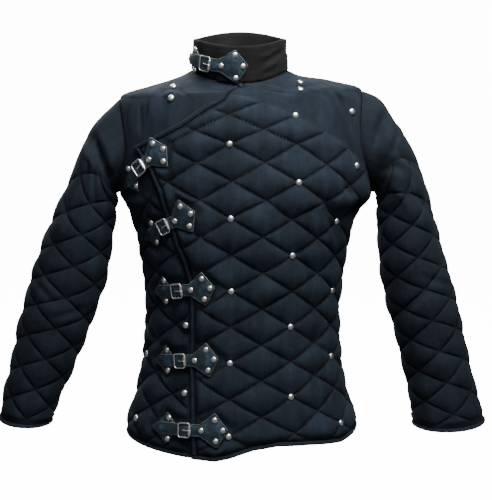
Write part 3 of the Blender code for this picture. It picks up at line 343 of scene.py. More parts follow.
# Largest creases: middle, half length, half width, lean in degrees, depth
CREASES = (
    (194, -30, 74, 13, -12, -9), (174, -24, 70, 15, -12, 6), (214, -120, 60, 13, -20, -5),
    (-150, -10, 56, 11, -3, -6), (-172, -30, 58, 12, -3, 4), (-128, 0, 52, 11, -8, 4),
    (-106, 12, 44, 10, -12, -4), (-196, -70, 50, 11, -4, -5),
    (205, -195, 60, 12, -52, -4), (185, -255, 70, 13, -35, -3.5), (160, -215, 66, 12, -62, -3),
    (-205, -235, 62, 12, 40, -4), (60, -400, 80, 14, 12, -2.2), (-30, -300, 70, 13, -14, -2.2),
    (120, -330, 75, 14, -22, -2.8), (150, -470, 80, 15, 18, -3), (20, -560, 85, 15, 4, -2.4),
    (-140, -420, 60, 13, 10, -3), (-170, -560, 70, 14, -6, -3), (80, -620, 60, 13, 2, -2.2),
    (120, 20, 50, 11, 20, -3), (70, -10, 60, 12, -70, -2),
)


def crease_depth(u, path, creases):
    depth = 0
    for at_u, at_path, long, wide, lean, deep in creases:
        c, s = math.cos(math.radians(lean)), math.sin(math.radians(lean))
        along = (path - at_path) * c + (u - at_u) * s
        across = (u - at_u) * c - (path - at_path) * s
        depth = depth + deep * smooth(1 - abs(along) / long) * smooth(1 - abs(across) / wide)
    return depth


# Half width of the leather along a closure, where it presses the cloth flat, its two ends,
# and how far round it the cloth stays flat and then rises
LEATHER_ALONG, LEATHER_HALF = (-26, 0, 28, 40, 72, 97, 127, 136), (2, 31, 11, 15, 15, 28, 8, 2)
LEATHER_START, LEATHER_END, PRESSED, PRESSED_EASE = -24, 134, 3, 11
LEFT_REGION = list(LAP_EDGE) + [(-82, -700), (400, -700), (400, 122)]


def bare_share(points):
    """0 under a closure, where the cloth is pressed flat, 1 where it is free."""
    share = np.ones(len(points))
    for _, u, path, turn in CLOSURES:
        c, s = math.cos(math.radians(turn)), math.sin(math.radians(turn))
        along = (points[:, 0] - u) * c + (points[:, 1] - path) * s
        across = abs((points[:, 1] - path) * c - (points[:, 0] - u) * s)
        beyond = np.maximum(np.maximum(LEATHER_START - along, along - LEATHER_END), 0)
        side = np.maximum(across - np.interp(along, LEATHER_ALONG, LEATHER_HALF), 0)
        share = np.minimum(share, smooth((np.hypot(side, beyond) - PRESSED) / PRESSED_EASE))
    return share


def lift_share(points):
    """1 where the left front lies on the right one."""
    region = [(-400, 200), (UNDER_EDGE[0][0], 200), *UNDER_EDGE, (-400, -700)]
    easing = 1 - smooth((distance_to(points, UNDER_EDGE) - 6) / 38)
    return np.where(inside(points, region), 1.0, easing)


def hex_colour(text):
    parts = [int(text[i:i + 2], 16) / 255 for i in (0, 2, 4)]
    return [c / 12.92 if c <= 0.04045 else ((c + 0.055) / 1.055)**2.4 for c in parts] + [1.0]


def add_node(tree, kind, settings=None, links=None, **values):
    """Adds a node, sets its options and sockets, and links sockets to its inputs."""
    node = tree.nodes.new(kind)
    for key, value in (settings or {}).items():
        setattr(node, key, value)
    for key, value in values.items():
        node.inputs[key.replace("_", " ")].default_value = value
    for key, source in (links or {}).items():
        tree.links.new(source, node.inputs[key])
    return node


def add_object(name, data):
    item = bpy.data.objects.new(name, data)
    bpy.context.scene.collection.objects.link(item)
    return item


def new_material(name):
    """A material, its node tree and its surface shader."""
    material = bpy.data.materials.new(name)
    material.use_nodes = True
    return material, material.node_tree, material.node_tree.nodes["Principled BSDF"]


def shades(tree, source, *stops):
    """A colour ramp of (place, hex colour) stops."""
    ramp = add_node(tree, "ShaderNodeValToRGB", links={"Fac": source})
    marks = ramp.color_ramp.elements
    for mark, (place, text) in zip(marks, (stops[0], stops[-1])):
        mark.position, mark.color = place, hex_colour(text)
    for place, text in stops[1:-1]:
        marks.new(place).color = hex_colour(text)
    return ramp.outputs["Color"]


def woven_cotton(name, dark, middle, light, thread=1.3, fuzz="7d90a6"):
    """Black-dyed cotton canvas: matt, with a soft fuzz that catches light, thin thread ribs,
    faint slubs along the warp and dye that has faded unevenly; paler on the puffs' crowns,
    partly rubbed wear and partly painted light, with painted shade in the hollows and along
    the pulled-in quilting lines."""
    material, tree, shader = new_material(name)
    shader.inputs["Roughness"].default_value = 0.9
    shader.inputs["Sheen Weight"].default_value = 0.05
    shader.inputs["Sheen Roughness"].default_value = 0.4
    shader.inputs["Sheen Tint"].default_value = hex_colour(fuzz)
    shader.inputs["Specular IOR Level"].default_value = 0.18
    cloth = add_node(tree, "ShaderNodeUVMap", {"uv_map": "cloth"}).outputs["UV"]
    crown = add_node(tree, "ShaderNodeAttribute", {"attribute_name": "crown"}).outputs["Fac"]
    seam = add_node(tree, "ShaderNodeAttribute", {"attribute_name": "seam"}).outputs["Fac"]
    # Slubs: noise drawn out along the warp
    warp = add_node(tree, "ShaderNodeMapping", links={"Vector": cloth}, Scale=(520, 26, 1))
    slub = add_node(tree, "ShaderNodeTexNoise", links={"Vector": warp.outputs["Vector"]},
                    Scale=1.0, Detail=3.0, Roughness=0.6)
    fade = add_node(tree, "ShaderNodeTexNoise", links={"Vector": cloth}, Scale=17.0, Detail=5.0,
                    Roughness=0.62)
    streak = add_node(tree, "ShaderNodeMapping", links={"Vector": cloth}, Scale=(60, 5, 1))
    long_fade = add_node(tree, "ShaderNodeTexNoise", links={"Vector": streak.outputs["Vector"]},
                         Scale=1.0, Detail=3.0, Roughness=0.6)
    first = add_node(tree, "ShaderNodeMath", {"operation": "MULTIPLY_ADD"},
                     {0: slub.outputs["Fac"], 2: fade.outputs["Fac"]})
    first.inputs[1].default_value = 0.3
    mixed = add_node(tree, "ShaderNodeMath", {"operation": "MULTIPLY_ADD"},
                     {0: long_fade.outputs["Fac"], 2: first.outputs[0]})
    mixed.inputs[1].default_value = 0.5
    # Paler on the crowns of the puffs: partly rubbed wear, partly painted light; the hollows get painted
    # shade
    fade_wear_and_shade = add_node(tree, "ShaderNodeMath", {"operation": "MULTIPLY_ADD"},
                    {0: crown, 2: mixed.outputs[0]})
    fade_wear_and_shade.inputs[1].default_value = 0.1
    # Painted shade along the stitched quilting lines, and on the left front along its edges
    with_painted_seam_shade = add_node(tree, "ShaderNodeMath", {"operation": "MULTIPLY_ADD"},
                     {0: seam, 2: fade_wear_and_shade.outputs[0]})
    with_painted_seam_shade.inputs[1].default_value = -0.34
    # The sum runs from about 0.5 on a seam's painted shade to 1.3 where faded dye, wear and
    # painted light on the crowns add up
    spread = add_node(tree, "ShaderNodeMapRange", links={"Value": with_painted_seam_shade.outputs[0]}, From_Min=0.5,
                      From_Max=1.35)
    tone = shades(tree, spread.outputs["Result"], (0.0, dark), (0.5, middle), (1.0, light))
    tree.links.new(tone, shader.inputs["Base Color"])
    # Thread ribs, drawn at about twice their real spacing so that they show
    ribs = add_node(tree, "ShaderNodeTexWave", {"wave_type": "BANDS", "bands_direction": "X"},
                    {"Vector": cloth}, Scale=math.tau / thread / MM / 20, Distortion=1.2, Detail=2.0)
    picks = add_node(tree, "ShaderNodeTexWave", {"wave_type": "BANDS", "bands_direction": "Y"},
                     {"Vector": cloth}, Scale=math.tau / thread / MM / 20, Distortion=1.2, Detail=2.0)
    weave = add_node(tree, "ShaderNodeMath", {"operation": "ADD"},
                     {0: ribs.outputs["Fac"], 1: picks.outputs["Fac"]})
    crumple = add_node(tree, "ShaderNodeTexNoise", links={"Vector": cloth}, Scale=75.0, Detail=4.0,
                       Roughness=0.62)
    near = add_node(tree, "ShaderNodeBump", links={"Height": weave.outputs[0]}, Strength=0.4,
                    Distance=0.0003)
    far = add_node(tree, "ShaderNodeBump",
                   links={"Height": crumple.outputs["Fac"], "Normal": near.outputs["Normal"]},
                   Strength=0.5, Distance=0.002)
    tree.links.new(far.outputs["Normal"], shader.inputs["Normal"])
    return material


cotton = woven_cotton("black_dyed_cotton_canvas", "0a0d12", "1a222b", "27333f")


# Distance between stitched lines, and half the width of the painted shade along them
LINE_GAP, SHADE_HALF = 57.6, 1.5


def painted_seam_shade(across, up, mask):
    """Painted shade of a stitched line: 1 on the line, 0 a few millimetres from it."""
    lines = [abs(t - np.round(t)) for t in ((across + up) / 2, (across - up) / 2)]
    return np.exp(-(LINE_GAP * np.minimum(*lines) / SHADE_HALF)**2) * mask


def swept_faces(count, size, closed=False):
    """Faces of a section of so many points repeated along a line, its two ends closed flat."""
    faces = [(k * size + i, k * size + (i + 1) % size, (k + 1) % count * size + (i + 1) % size,
              (k + 1) % count * size + i)
             for k in range(count if closed else count - 1) for i in range(size)]
    if not closed:
        faces += [tuple(range(size)), tuple((count - 1) * size + i for i in range(size))]
    return faces


def finish_mesh(name, verts, faces, material, cloth_uv=None, crown=None, seam=None, sharp=50):
    """Closed mesh with outward faces, the cloth's own coordinates and its puffed height."""
    mesh = bpy.data.meshes.new(name)
    mesh.from_pydata([tuple(v) for v in verts], [], [tuple(int(i) for i in f) for f in faces])
    if crown is not None:
        seam = np.zeros(len(crown)) if seam is None else seam
        for label, values in (("crown", crown), ("seam", seam)):
            share = mesh.attributes.new(label, "FLOAT", "POINT")
            share.data.foreach_set("value", np.asarray(values, np.float32))
    if cloth_uv is not None:
        corners = np.zeros(len(mesh.loops), np.int32)
        mesh.loops.foreach_get("vertex_index", corners)
        layer = mesh.uv_layers.new(name="cloth")
        layer.data.foreach_set("uv", np.asarray(cloth_uv, np.float32)[corners].ravel())
    shape = bmesh.new()
    shape.from_mesh(mesh)
    bmesh.ops.recalc_face_normals(shape, faces=shape.faces[:])
    shape.to_mesh(mesh)
    shape.free()
    mesh.shade_smooth()
    mesh.set_sharp_from_angle(angle=math.radians(sharp))
    for one in material if isinstance(material, (list, tuple)) else [material]:
        mesh.materials.append(one)
    return add_object(name, mesh)


def cloth_wall(name, outline, points, inner_points, outer, inner, crown, seam, material):
    """Padded cloth between a quilted outer face and a plain inner one."""
    count = len(outline)
    top = flat_triangles(outline, points)
    under = flat_triangles(outline, inner_points)
    flat = np.vstack([outline, points])
    flat_in = np.vstack([outline, inner_points])
    verts = np.vstack([outer(flat), inner(flat_in)])
    base = len(flat)
    faces = [tuple(f) for f in top] + [tuple(base + i for i in f[::-1]) for f in under]
    faces += [((i + 1) % count, i, base + i, base + (i + 1) % count) for i in range(count)]
    uv = np.vstack([flat, flat_in]) * MM
    plain = np.zeros(len(flat_in))
    return finish_mesh(name, verts, faces, material, uv, np.concatenate([crown(flat), plain + 0.3]),
                       np.concatenate([seam(flat), plain]))


under_edge = split_line(UNDER_EDGE[:-1] + ((-38, read_line(FRONT_HEM, -38) + BINDING + SEAM_GAP),), 6)
right_side = side_outline(False, -1, FRONT_HEM)
right_outline = closed_outline(right_side, hem_line(FRONT_HEM, right_side[-1][0], -38), under_edge[::-1],
                               [(u, NECK) for u in np.linspace(36, right_side[0][0], 22)])


def right_quilted(flat):
    up = quilt_place(flat[:, 0], flat[:, 1], FRONT_COLUMN)[1]
    share = smooth((-2.5 - up) / 0.6) * ~inside(flat, LEFT_REGION)
    share = share * smooth((distance_to(flat, LAP_EDGE) - 4) / 8)
    return share * smooth((distance_to(flat, right_outline, True) - 1) / 10)


def right_crown(flat):
    puff = puff_shape(*quilt_place(flat[:, 0], flat[:, 1], FRONT_COLUMN))
    return puff * right_quilted(flat) * bare_share(flat)


# Painted shade along the right front's stitched lines
def right_seam_shade(flat):
    return painted_seam_shade(*quilt_place(flat[:, 0], flat[:, 1], FRONT_COLUMN), right_quilted(flat))


def free_share(flat, outline):
    """0 at seams and where pieces lie on each other, so that creases stay clear of them."""
    return smooth((distance_to(flat, outline, True) - 8) / 25) * bare_share(flat)


def follow(loose):
    """How far the inner face sinks with a crease, so that the cloth keeps its thickness."""
    return np.minimum(loose + 2.0, 0) - WALL


def right_loose(flat):
    u, path = flat.T
    free = free_share(flat, right_outline) * smooth((distance_to(flat, LAP_EDGE) - 8) / 25)
    free *= ~inside(flat, LEFT_REGION)
    return (crease_depth(u, path, CREASES) + WAVE_DEEP * ripple(u, path, WAVE_LONG, 3)) * free


def right_height(flat):
    height = PUFF * right_crown(flat) * padding_share(*flat.T, 5)
    return height + right_loose(flat) + drawn_in(flat, right_outline)


front_right = cloth_wall(
    "front_right_cloth", right_outline, quilt_points(FRONT_COLUMN, right_outline, 2.4),
    quilt_points(FRONT_COLUMN, right_outline, 6),
    lambda f: on_body(f[:, 0], f[:, 1], right_height(f)),
    lambda f: on_body(f[:, 0], f[:, 1], follow(right_loose(f))), right_crown, right_seam_shade, cotton)

# Left front
# The same quilted cotton. It laps over the right front, with a diagonal upper edge and a
# plain, unquilted yoke over the shoulder.
lap_cut = [tuple(p) for p in shift_line(LAP_EDGE, BINDING + SEAM_GAP)]
lap_cut[0] = (lap_cut[0][0], NECK)
foot_u = lap_cut[-1][0]
lap_cut[-1] = (foot_u, read_line(FRONT_HEM, foot_u) + BINDING + SEAM_GAP)
lap_cut = split_line(lap_cut, 6)
left_side = side_outline(False, 1, FRONT_HEM)
left_outline = closed_outline(left_side, hem_line(FRONT_HEM, left_side[-1][0], foot_u), lap_cut[::-1],
                              [(u, NECK) for u in np.linspace(lap_cut[0][0], left_side[0][0], 14)])


def left_quilted(flat):
    across, up = quilt_place(flat[:, 0], flat[:, 1], FRONT_COLUMN)
    share = smooth((YOKE + 0.06 - across - up) / 0.1)
    return share * smooth((distance_to(flat, left_outline, True) - 1) / 10)


def left_crown(flat):
    puff = puff_shape(*quilt_place(flat[:, 0], flat[:, 1], FRONT_COLUMN))
    return puff * left_quilted(flat) * bare_share(flat)


# Painted shade along the left front's stitched lines and along its own edges
def left_seam_shade(flat):
    quilted = painted_seam_shade(*quilt_place(flat[:, 0], flat[:, 1], FRONT_COLUMN), left_quilted(flat))
    return np.maximum(quilted, smooth(2.5 - distance_to(flat, left_outline, True) / 2))


def left_loose(flat):
    u, path = flat.T
    loose = crease_depth(u, path, CREASES) + WAVE_DEEP * ripple(u, path, WAVE_LONG, 4)
    return loose * free_share(flat, left_outline)


def left_height(flat):
    height = PUFF * left_crown(flat) * padding_share(*flat.T, 6)
    return LIFT * lift_share(flat) + height + left_loose(flat) + drawn_in(flat, left_outline)


def left_inner(flat):
    """Face of the left front on the wearer's side, level over the right front."""
    lift = lift_share(flat)
    return LIFT * lift - WALL + (follow(left_loose(flat)) + WALL) * smooth(1 - 4 * lift)


front_left = cloth_wall(
    "front_left_cloth", left_outline, quilt_points(FRONT_COLUMN, left_outline, 2.4),
    quilt_points(FRONT_COLUMN, left_outline, 6),
    lambda f: on_body(f[:, 0], f[:, 1], left_height(f)),
    lambda f: on_body(f[:, 0], f[:, 1], left_inner(f)), left_crown, left_seam_shade, cotton)

# Back
# One piece of the same quilted cotton from side seam to side seam, with a plain yoke whose
# lower edge points down at the middle.
back_left, back_right = side_outline(True, 1, BACK_HEM), side_outline(True, -1, BACK_HEM)
back_outline = closed_outline(back_left, hem_line(BACK_HEM, back_left[-1][0], back_right[-1][0]),
                              back_right[::-1],
                              [(u, NECK) for u in np.linspace(back_right[0][0], back_left[0][0], 30)])
BACK_CREASES = ((0, -400, 90, 16, 80, -2), (90, -430, 80, 15, 70, -2), (-90, -445, 80, 15, -72, -2),
                (150, -120, 80, 16, 14, -3), (-150, -120, 80, 16, -14, -3), (60, -250, 90, 16, 30, -2),
                (-60, -260, 90, 16, -28, -2), (0, -600, 70, 16, 3, -2), (120, -580, 70, 15, 8, -2),
                (-120, -590, 70, 15, -6, -2))


def back_quilted(flat):
    across, up = quilt_place(flat[:, 0], flat[:, 1], 0)
    share = smooth((YOKE + 0.06 - abs(across) - up) / 0.1)
    return share * smooth((distance_to(flat, back_outline, True) - 3) / 12)


def back_crown(flat):
    return puff_shape(*quilt_place(flat[:, 0], flat[:, 1], 0)) * back_quilted(flat)


# Painted shade along the back's stitched lines
def back_seam_shade(flat):
    return painted_seam_shade(*quilt_place(flat[:, 0], flat[:, 1], 0), back_quilted(flat))


def back_height(flat):
    u, path = flat.T
    loose = crease_depth(u, path, BACK_CREASES) + WAVE_DEEP * ripple(u, path, WAVE_LONG, 8)
    free = smooth((distance_to(flat, back_outline, True) - 8) / 25)
    height = PUFF * back_crown(flat) * padding_share(u, path, 9)
    return height + loose * free + drawn_in(flat, back_outline)


back = cloth_wall(
    "back_cloth", back_outline, quilt_points(0, back_outline, 2.4), quilt_points(0, back_outline, 6, 3),
    lambda f: on_body(f[:, 0], f[:, 1], back_height(f), True),
    lambda f: on_body(f[:, 0], f[:, 1], -WALL, True), back_crown, back_seam_shade, cotton)

# Sleeves
# Each is quilted flat, sewn into a tube and set into the armhole. The cap is plain and
# falls in a few deep folds. Rows run from the armhole to the cuff.
SLEEVE_PUFF, SLEEVE_HIGH, CAP_BLEND, HALF_TURNS = 5.0, 30.5, 45.0, 8
SLEEVES = {
    "right": (-1, 9.0, 57.5, (
        # along, outer x, outer z, inner x, inner z, half depth, centre y
        (21, 256, -49, 239, -207, 66, 0), (49, 287, -90, 241, -212, 69, 0),
        (80, 308, -140, 241, -220, 70, -1), (119, 332, -195, 243, -238, 70, -2),
        (180, 363, -262, 250, -288, 70, -4), (267, 395, -345, 265, -374, 69, -9),
        (329, 411, -399, 286, -438, 67, -14), (402, 430, -470, 313, -506, 63, -21),
        (464, 443, -531, 337, -564, 59, -29), (515, 455, -580, 359, -611, 56, -36),
        (566, 469, -638, 369, -648, 55, -43))),
    "left": (1, -4.0, 53.5, (
        (21, 259, -33, 255, -206, 66, 0), (46, 286, -66, 258, -211, 69, 0),
        (78, 315, -118, 259, -217, 71, -1), (113, 340, -171, 261, -228, 71, -2),
        (179, 363, -250, 262, -276, 70, -4), (250, 383, -320, 268, -346, 69, -8),
        (325, 405, -392, 282, -421, 68, -13), (393, 420, -457, 301, -486, 66, -19),
        (470, 437, -531, 318, -561, 64, -28), (528, 452, -592, 329, -613, 64, -35),
        (578, 469, -643, 331, -653, 65, -42))),
}
# The same cotton, painted darker on the sleeves: painted shade for the shadow they hang in
shaded_sleeve_cotton = woven_cotton("sleeve_cotton_with_painted_shade", "080b0f", "151c24", "1f2933")
# Mean radius of a sleeve, for the cloth's own coordinates and for the folds
SLEEVE_MEAN, FOLD_MEAN = 62, 64
# Folds of the sleeves: along, turn in degrees, half length, half width, lean, depth
SLEEVE_FOLDS = {
    "right": ((40, 74, 72, 11, 99, -14), (57, 64, 60, 11, 99, 4), (22, 104, 20, 13, 60, 7),
              (60, 60, 75, 12, 35, -4), (85, 95, 60, 12, 25, -5), (40, 100, 50, 11, 30, 4),
              (130, 40, 80, 14, 40, -3), (100, 240, 70, 14, -30, -4), (60, 290, 60, 14, -20, -4),
              (300, 60, 60, 12, 60, -3), (330, 110, 60, 12, -60, -3), (320, 250, 70, 14, 50, -3)),
    "left": ((24, 62, 62, 11, -76, -14), (39, 66, 60, 11, -76, 4), (50, 100, 50, 10, -40, -5),
             (75, 55, 80, 13, -38, -4), (60, 85, 60, 12, -30, -5), (110, 100, 60, 13, -20, 4),
             (150, 50, 80, 14, -40, -3), (100, 240, 70, 14, 30, -4), (60, 290, 60, 14, 20, -4),
             (290, 60, 60, 12, -60, -3), (320, 110, 60, 12, 60, -3), (330, 250, 70, 14, -50, -3)),
}


def make_sleeve_shape(side, rows):
    top, bottom = body_ring(np.array(ARM_TOP), False), body_ring(np.array(ARM_BOTTOM), False)
    start = (0, top[1] + side * top[4], ARM_TOP, bottom[1] + side * bottom[4], ARM_BOTTOM, ARM_HALF, 0)
    read = curve_through((start,) + rows)

    def base(along, turn):
        outer_x, outer_z, inner_x, inner_z, depth, centre_y = np.moveaxis(read(along), -1, 0)
        cosine = np.cos(turn)
        rim_path = ARM_MIDDLE + ARM_HIGH * cosine
        rim = body_ring(rim_path, False)
        rim_x = side * rim[4] + rim[1] * np.sqrt(1 - rim[6]**2)
        plain_x = (start[1] + start[3]) / 2 + cosine * (start[1] - start[3]) / 2
        near = 1 - smooth(along / CAP_BLEND)
        x = (outer_x + inner_x) / 2 + cosine * (outer_x - inner_x) / 2 - (plain_x - rim_x) * near
        z = (outer_z + inner_z) / 2 + cosine * (outer_z - inner_z) / 2
        z = z + shoulder_lean(side * rim_x, rim_path) * near
        return np.stack([side * x, centre_y - depth * np.sin(turn), z], -1)

    def out(along, turn):
        down = base(along + 2, turn) - base(np.maximum(along - 2, 0), turn)
        around = base(along, turn + 0.05) - base(along, turn - 0.05)
        way = unit(np.cross(around, down)) * side
        t = smooth(along / CAP_BLEND)[..., None]
        return unit(armhole_direction(base(along * 0, turn)) * (1 - t) + way * t)

    def place(along, turn, height):
        along, turn, height = np.broadcast_arrays(*(np.asarray(v, float) for v in (along, turn, height)))
        return (base(along, turn) + out(along, turn) * height[..., None]) * MM
    return place, out


def sleeve_loose(name, side, along, turn, end):
    """Depth of the folds and of the cloth's unevenness, eased away at both ends."""
    loose = 1.0 * ripple(turn * SLEEVE_MEAN, along, 60, 11 + side)
    for f_along, f_turn, long, wide, lean, deep in SLEEVE_FOLDS[name]:
        c, s = math.cos(math.radians(lean)), math.sin(math.radians(lean))
        reach = ((turn - math.radians(f_turn) + math.pi) % math.tau - math.pi) * FOLD_MEAN
        run, off = (along - f_along) * c + reach * s, reach * c - (along - f_along) * s
        loose = loose + deep * smooth(1 - abs(run) / long) * smooth(1 - abs(off) / wide)
    return loose * smooth((along - 4) / 22) * smooth((end - along - 3) / 20)


sleeve_places, sleeves = {}, {}
for name, (side, twist, first, rows) in SLEEVES.items():
    place, out = make_sleeve_shape(side, rows)
    end = rows[-1][0] - BINDING - SEAM_GAP
    fine = 10
    columns = HALF_TURNS * fine
    steps = np.concatenate([np.linspace(0.3, first, 19)[:-1],
                            np.arange(first, end - 1.5, SLEEVE_HIGH / fine), [end]])
    along, column = np.meshgrid(steps, np.arange(columns), indexing="ij")
    turn = math.tau * column / columns + math.radians(twist) * smooth(along / first)
    sleeve_places[name] = (place, out, first, twist, end)
    across, up = column / fine, (along - first) / SLEEVE_HIGH
    quilted = smooth((up + 0.06) / 0.1) * smooth((end - along - 3) / 12)
    # The seam values are painted shade along the sleeve's stitched lines
    crown, seam = puff_shape(across, up) * quilted, painted_seam_shade(across, up, quilted)
    height = SLEEVE_PUFF * crown * padding_share(turn * SLEEVE_MEAN, along, 14 + side)
    height = height + sleeve_loose(name, side, along, turn, end)
    height = height - 1.0 * smooth(1 - along / 5) - 0.8 * smooth(1 - (end - along) / 4)
    inner_rows = np.linspace(0.3, end, 150)
    outer = place(along, turn, height).reshape(-1, 3)
    in_along, in_column = np.meshgrid(inner_rows, np.arange(columns), indexing="ij")
    in_turn = math.tau * in_column / columns + math.radians(twist) * smooth(in_along / first)
    inner_height = follow(sleeve_loose(name, side, in_along, in_turn, end))
    inner = place(in_along, in_turn, inner_height).reshape(-1, 3)
    faces, rows_out = [], len(steps)
    for r in range(rows_out - 1):
        cell = math.floor((steps[r] - first + 0.01) / SLEEVE_HIGH)
        for c in range(columns):
            a, b = r * columns + c, r * columns + (c + 1) % columns
            d, e = a + columns, b + columns
            falling = (c // fine + cell) % 2 == 0
            faces += [(a, b, e), (a, e, d)] if falling else [(a, b, d), (b, e, d)]
    base = len(outer)
    for r in range(len(inner_rows) - 1):
        for c in range(columns):
            a = base + r * columns + c
            b = base + r * columns + (c + 1) % columns
            faces.append((b, a, a + columns, b + columns))
    # The wall is closed between its two faces at the armhole and at the cuff
    for outer_row, inner_row, flip in ((0, 0, False), (rows_out - 1, len(inner_rows) - 1, True)):
        for i in range(columns):
            a, b = [outer_row * columns + k % columns for k in (i, i + 1)]
            c, d = [base + inner_row * columns + k % columns for k in (i, i + 1)]
            faces += [face[::-1] if flip else face for face in ((a, c, b), (b, c, d))]
    uv = np.stack([np.concatenate([turn.ravel(), in_turn.ravel()]) * SLEEVE_MEAN,
                   -np.concatenate([along.ravel(), in_along.ravel()])], 1) * MM
    plain = np.zeros(len(inner))
    sleeves[name] = finish_mesh("sleeve_" + name + "_cloth", np.vstack([outer, inner]), faces,
                                shaded_sleeve_cotton, uv, np.concatenate([crown.ravel(), plain + 0.3]),
                                np.concatenate([seam.ravel(), plain]))

# Collar
# One padded strip of browner cotton, wound round the neck and lapped over itself at the
# front, topstitched along its edges, with slanting strain creases.
collar_cotton = woven_cotton("brown_black_cotton", "0a0a0b", "171718", "282829", fuzz="8d9299")
COLLAR_FOOT, COLLAR_HEAD, COLLAR_HIGH = (91, 78, 74, 24, 24, 8), (87, 85, 79, 82, 15, 15), 62.0


def on_collar(u, path, height):
    u, path, height = np.broadcast_arrays(*(np.asarray(v, float) for v in (u, path, height)))
    up = path / COLLAR_HIGH
    wide, front, rear, level, drop, rise = [a + (b - a) * up for a, b in zip(COLLAR_FOOT, COLLAR_HEAD)]
    turn = u / COLLAR_FOOT[0]
    ahead = np.cos(turn) > 0
    depth, tilt = np.where(ahead, front, rear), np.where(ahead, -drop, rise)
    point = np.stack([-4 + wide * np.sin(turn), -depth * np.cos(turn), level + tilt * np.cos(turn)**2], -1)
    out = unit(np.stack([np.sin(turn) / wide, -np.cos(turn) / depth, turn * 0], -1))
    return (point + out * height[..., None]) * MM


turns = np.radians(np.linspace(12, -25 - 360, 200))
around = turns * COLLAR_FOOT[0]
lift = LIFT * smooth((-np.degrees(turns) - 305) / 38)
edge = 1.6
low, high = 0.8, COLLAR_HIGH
profile = [(low + edge, 0)] + [(low + edge + (high - low - 2 * edge) * i / 16, 0) for i in range(1, 17)]
profile += [(high - 0.5, -edge * 0.5), (high, -edge * 1.3), (high, -WALL + edge), (high - edge, -WALL)]
profile += [(high - edge - (high - low - 2 * edge) * i / 6, -WALL) for i in range(1, 7)]
profile += [(low, -WALL + edge), (low, -edge)]
grid_u, grid_path = np.meshgrid(around, [p for p, _ in profile], indexing="ij")
grid_h = np.array([h for _, h in profile])[None, :] + lift[:, None]
outside = np.array([1.0 if i < 17 else 0.0 for i in range(len(profile))])[None, :]
seen = grid_u + 2 * math.pi * COLLAR_FOOT[0]
# Strain creases that fan out from the collar's closure, listed as on the fronts
COLLAR_CREASES = (
    (60, 45, 62, 6, 78, 2.4), (58, 34, 60, 6, 79, -2.6), (60, 23, 62, 7, 80, 2.2),
    (54, 12, 50, 6, 82, -2.0), (96, 40, 40, 6, 70, -1.6), (118, 26, 46, 7, 75, 1.6),
    (140, 36, 40, 7, 84, -1.6), (230, 30, 60, 8, 80, 1.5), (280, 20, 60, 8, 95, -1.5),
    (350, 35, 60, 8, 85, 1.5), (-22, 46, 20, 5, 60, 1.2),
)
stitch_line = smooth(1 - abs(grid_path - 8) / 2.2) + smooth(1 - abs(grid_path - 55) / 2.2)
slant = grid_u * 0.55 + grid_path * 1.35
creases = crease_depth(seen, grid_path, COLLAR_CREASES) + 0.7 * ripple(grid_u, grid_path, 38, 21)
creases += 0.5 * np.sin(slant / 8.5 + 1.5 * np.sin(grid_u / 37))
middle_share = smooth((grid_path - 6) / 12) * smooth((56 - grid_path) / 12)
pressed = smooth((np.hypot((grid_u + 6 + math.tau * COLLAR_FOOT[0]) * 0.6, grid_path - 28.5) - 22) / 14)
pressed2 = 1 - smooth((60 - abs(grid_u + 85 + math.tau * COLLAR_FOOT[0])) / 12)
grid_h = grid_h + outside * (creases * middle_share * np.minimum(pressed, pressed2) - 0.7 * stitch_line)
verts = on_collar(grid_u, grid_path, grid_h).reshape(-1, 3)
faces = swept_faces(len(turns), len(profile))
uv = np.stack([grid_path.ravel(), grid_u.ravel()], 1) * MM
# The collar is paler on its crease ridges and darker in their hollows: partly rubbed wear, partly painted
# light and shade
wear_and_shade_tone = (0.45 + 0.12 * creases * outside).ravel()
collar = finish_mesh("collar_cloth", verts, faces, collar_cotton, uv, wear_and_shade_tone)

# Bindings
# Narrow bands of the same cotton, folded over the raw edges and stitched: down the lap,
# round the hem and round each cuff.
binding_cotton = woven_cotton("binding_cotton", "090c10", "171e27", "26313d", thread=1.0)
# Section of a band: distance in from the edge, height
BAND = ((0.2, -WALL + 0.8), (0, -2.4), (0.4, -0.4), (1.4, 1.2), (3.0, 2.1), (4.6, 1.9), (5.9, 0.9),
        (6.8, 1.0), (7.7, 0.2), (8, -0.8), (8, -WALL + 0.5), (7.4, -WALL), (0.8, -WALL))


def make_band(name, line, place):
    stops = stations(line, 6)
    runs = [read_stations(shift_line(line, away), stops) for away, _ in BAND]
    line = runs[0]
    size, count = len(BAND), len(line)
    flat = np.stack(runs, 1).reshape(-1, 2)
    heights = np.tile([h for _, h in BAND], count)
    verts = place(flat, heights)
    faces = swept_faces(count, size)
    length = np.concatenate([[0], np.cumsum(np.linalg.norm(np.diff(line, axis=0), axis=1))])
    uv = np.stack([np.repeat(length, size), np.tile([a for a, _ in BAND], count)], 1) * MM
    # Paler where the band stands highest, darker low down: partly rubbed wear, partly painted light and
    # shade
    wear_and_shade_tone = np.tile(np.clip([0.5 + 0.4 * h for _, h in BAND], 0, 1), count)
    return finish_mesh(name, verts, faces, binding_cotton, uv, wear_and_shade_tone)


def within(flat, back):
    reach = edge_u(flat[:, 1], back) - SEAM_GAP / 2
    return np.clip(flat[:, 0], -reach, reach)


def on_left(flat, heights):
    return on_body(within(flat, False), flat[:, 1], heights + LIFT * lift_share(flat))


def on_right(flat, heights):
    heights = np.where(inside(flat, LEFT_REGION), np.minimum(heights, -0.2), heights)
    return on_body(within(flat, False), flat[:, 1], heights)


def on_back(flat, heights):
    return on_body(within(flat, True), flat[:, 1], heights, True)


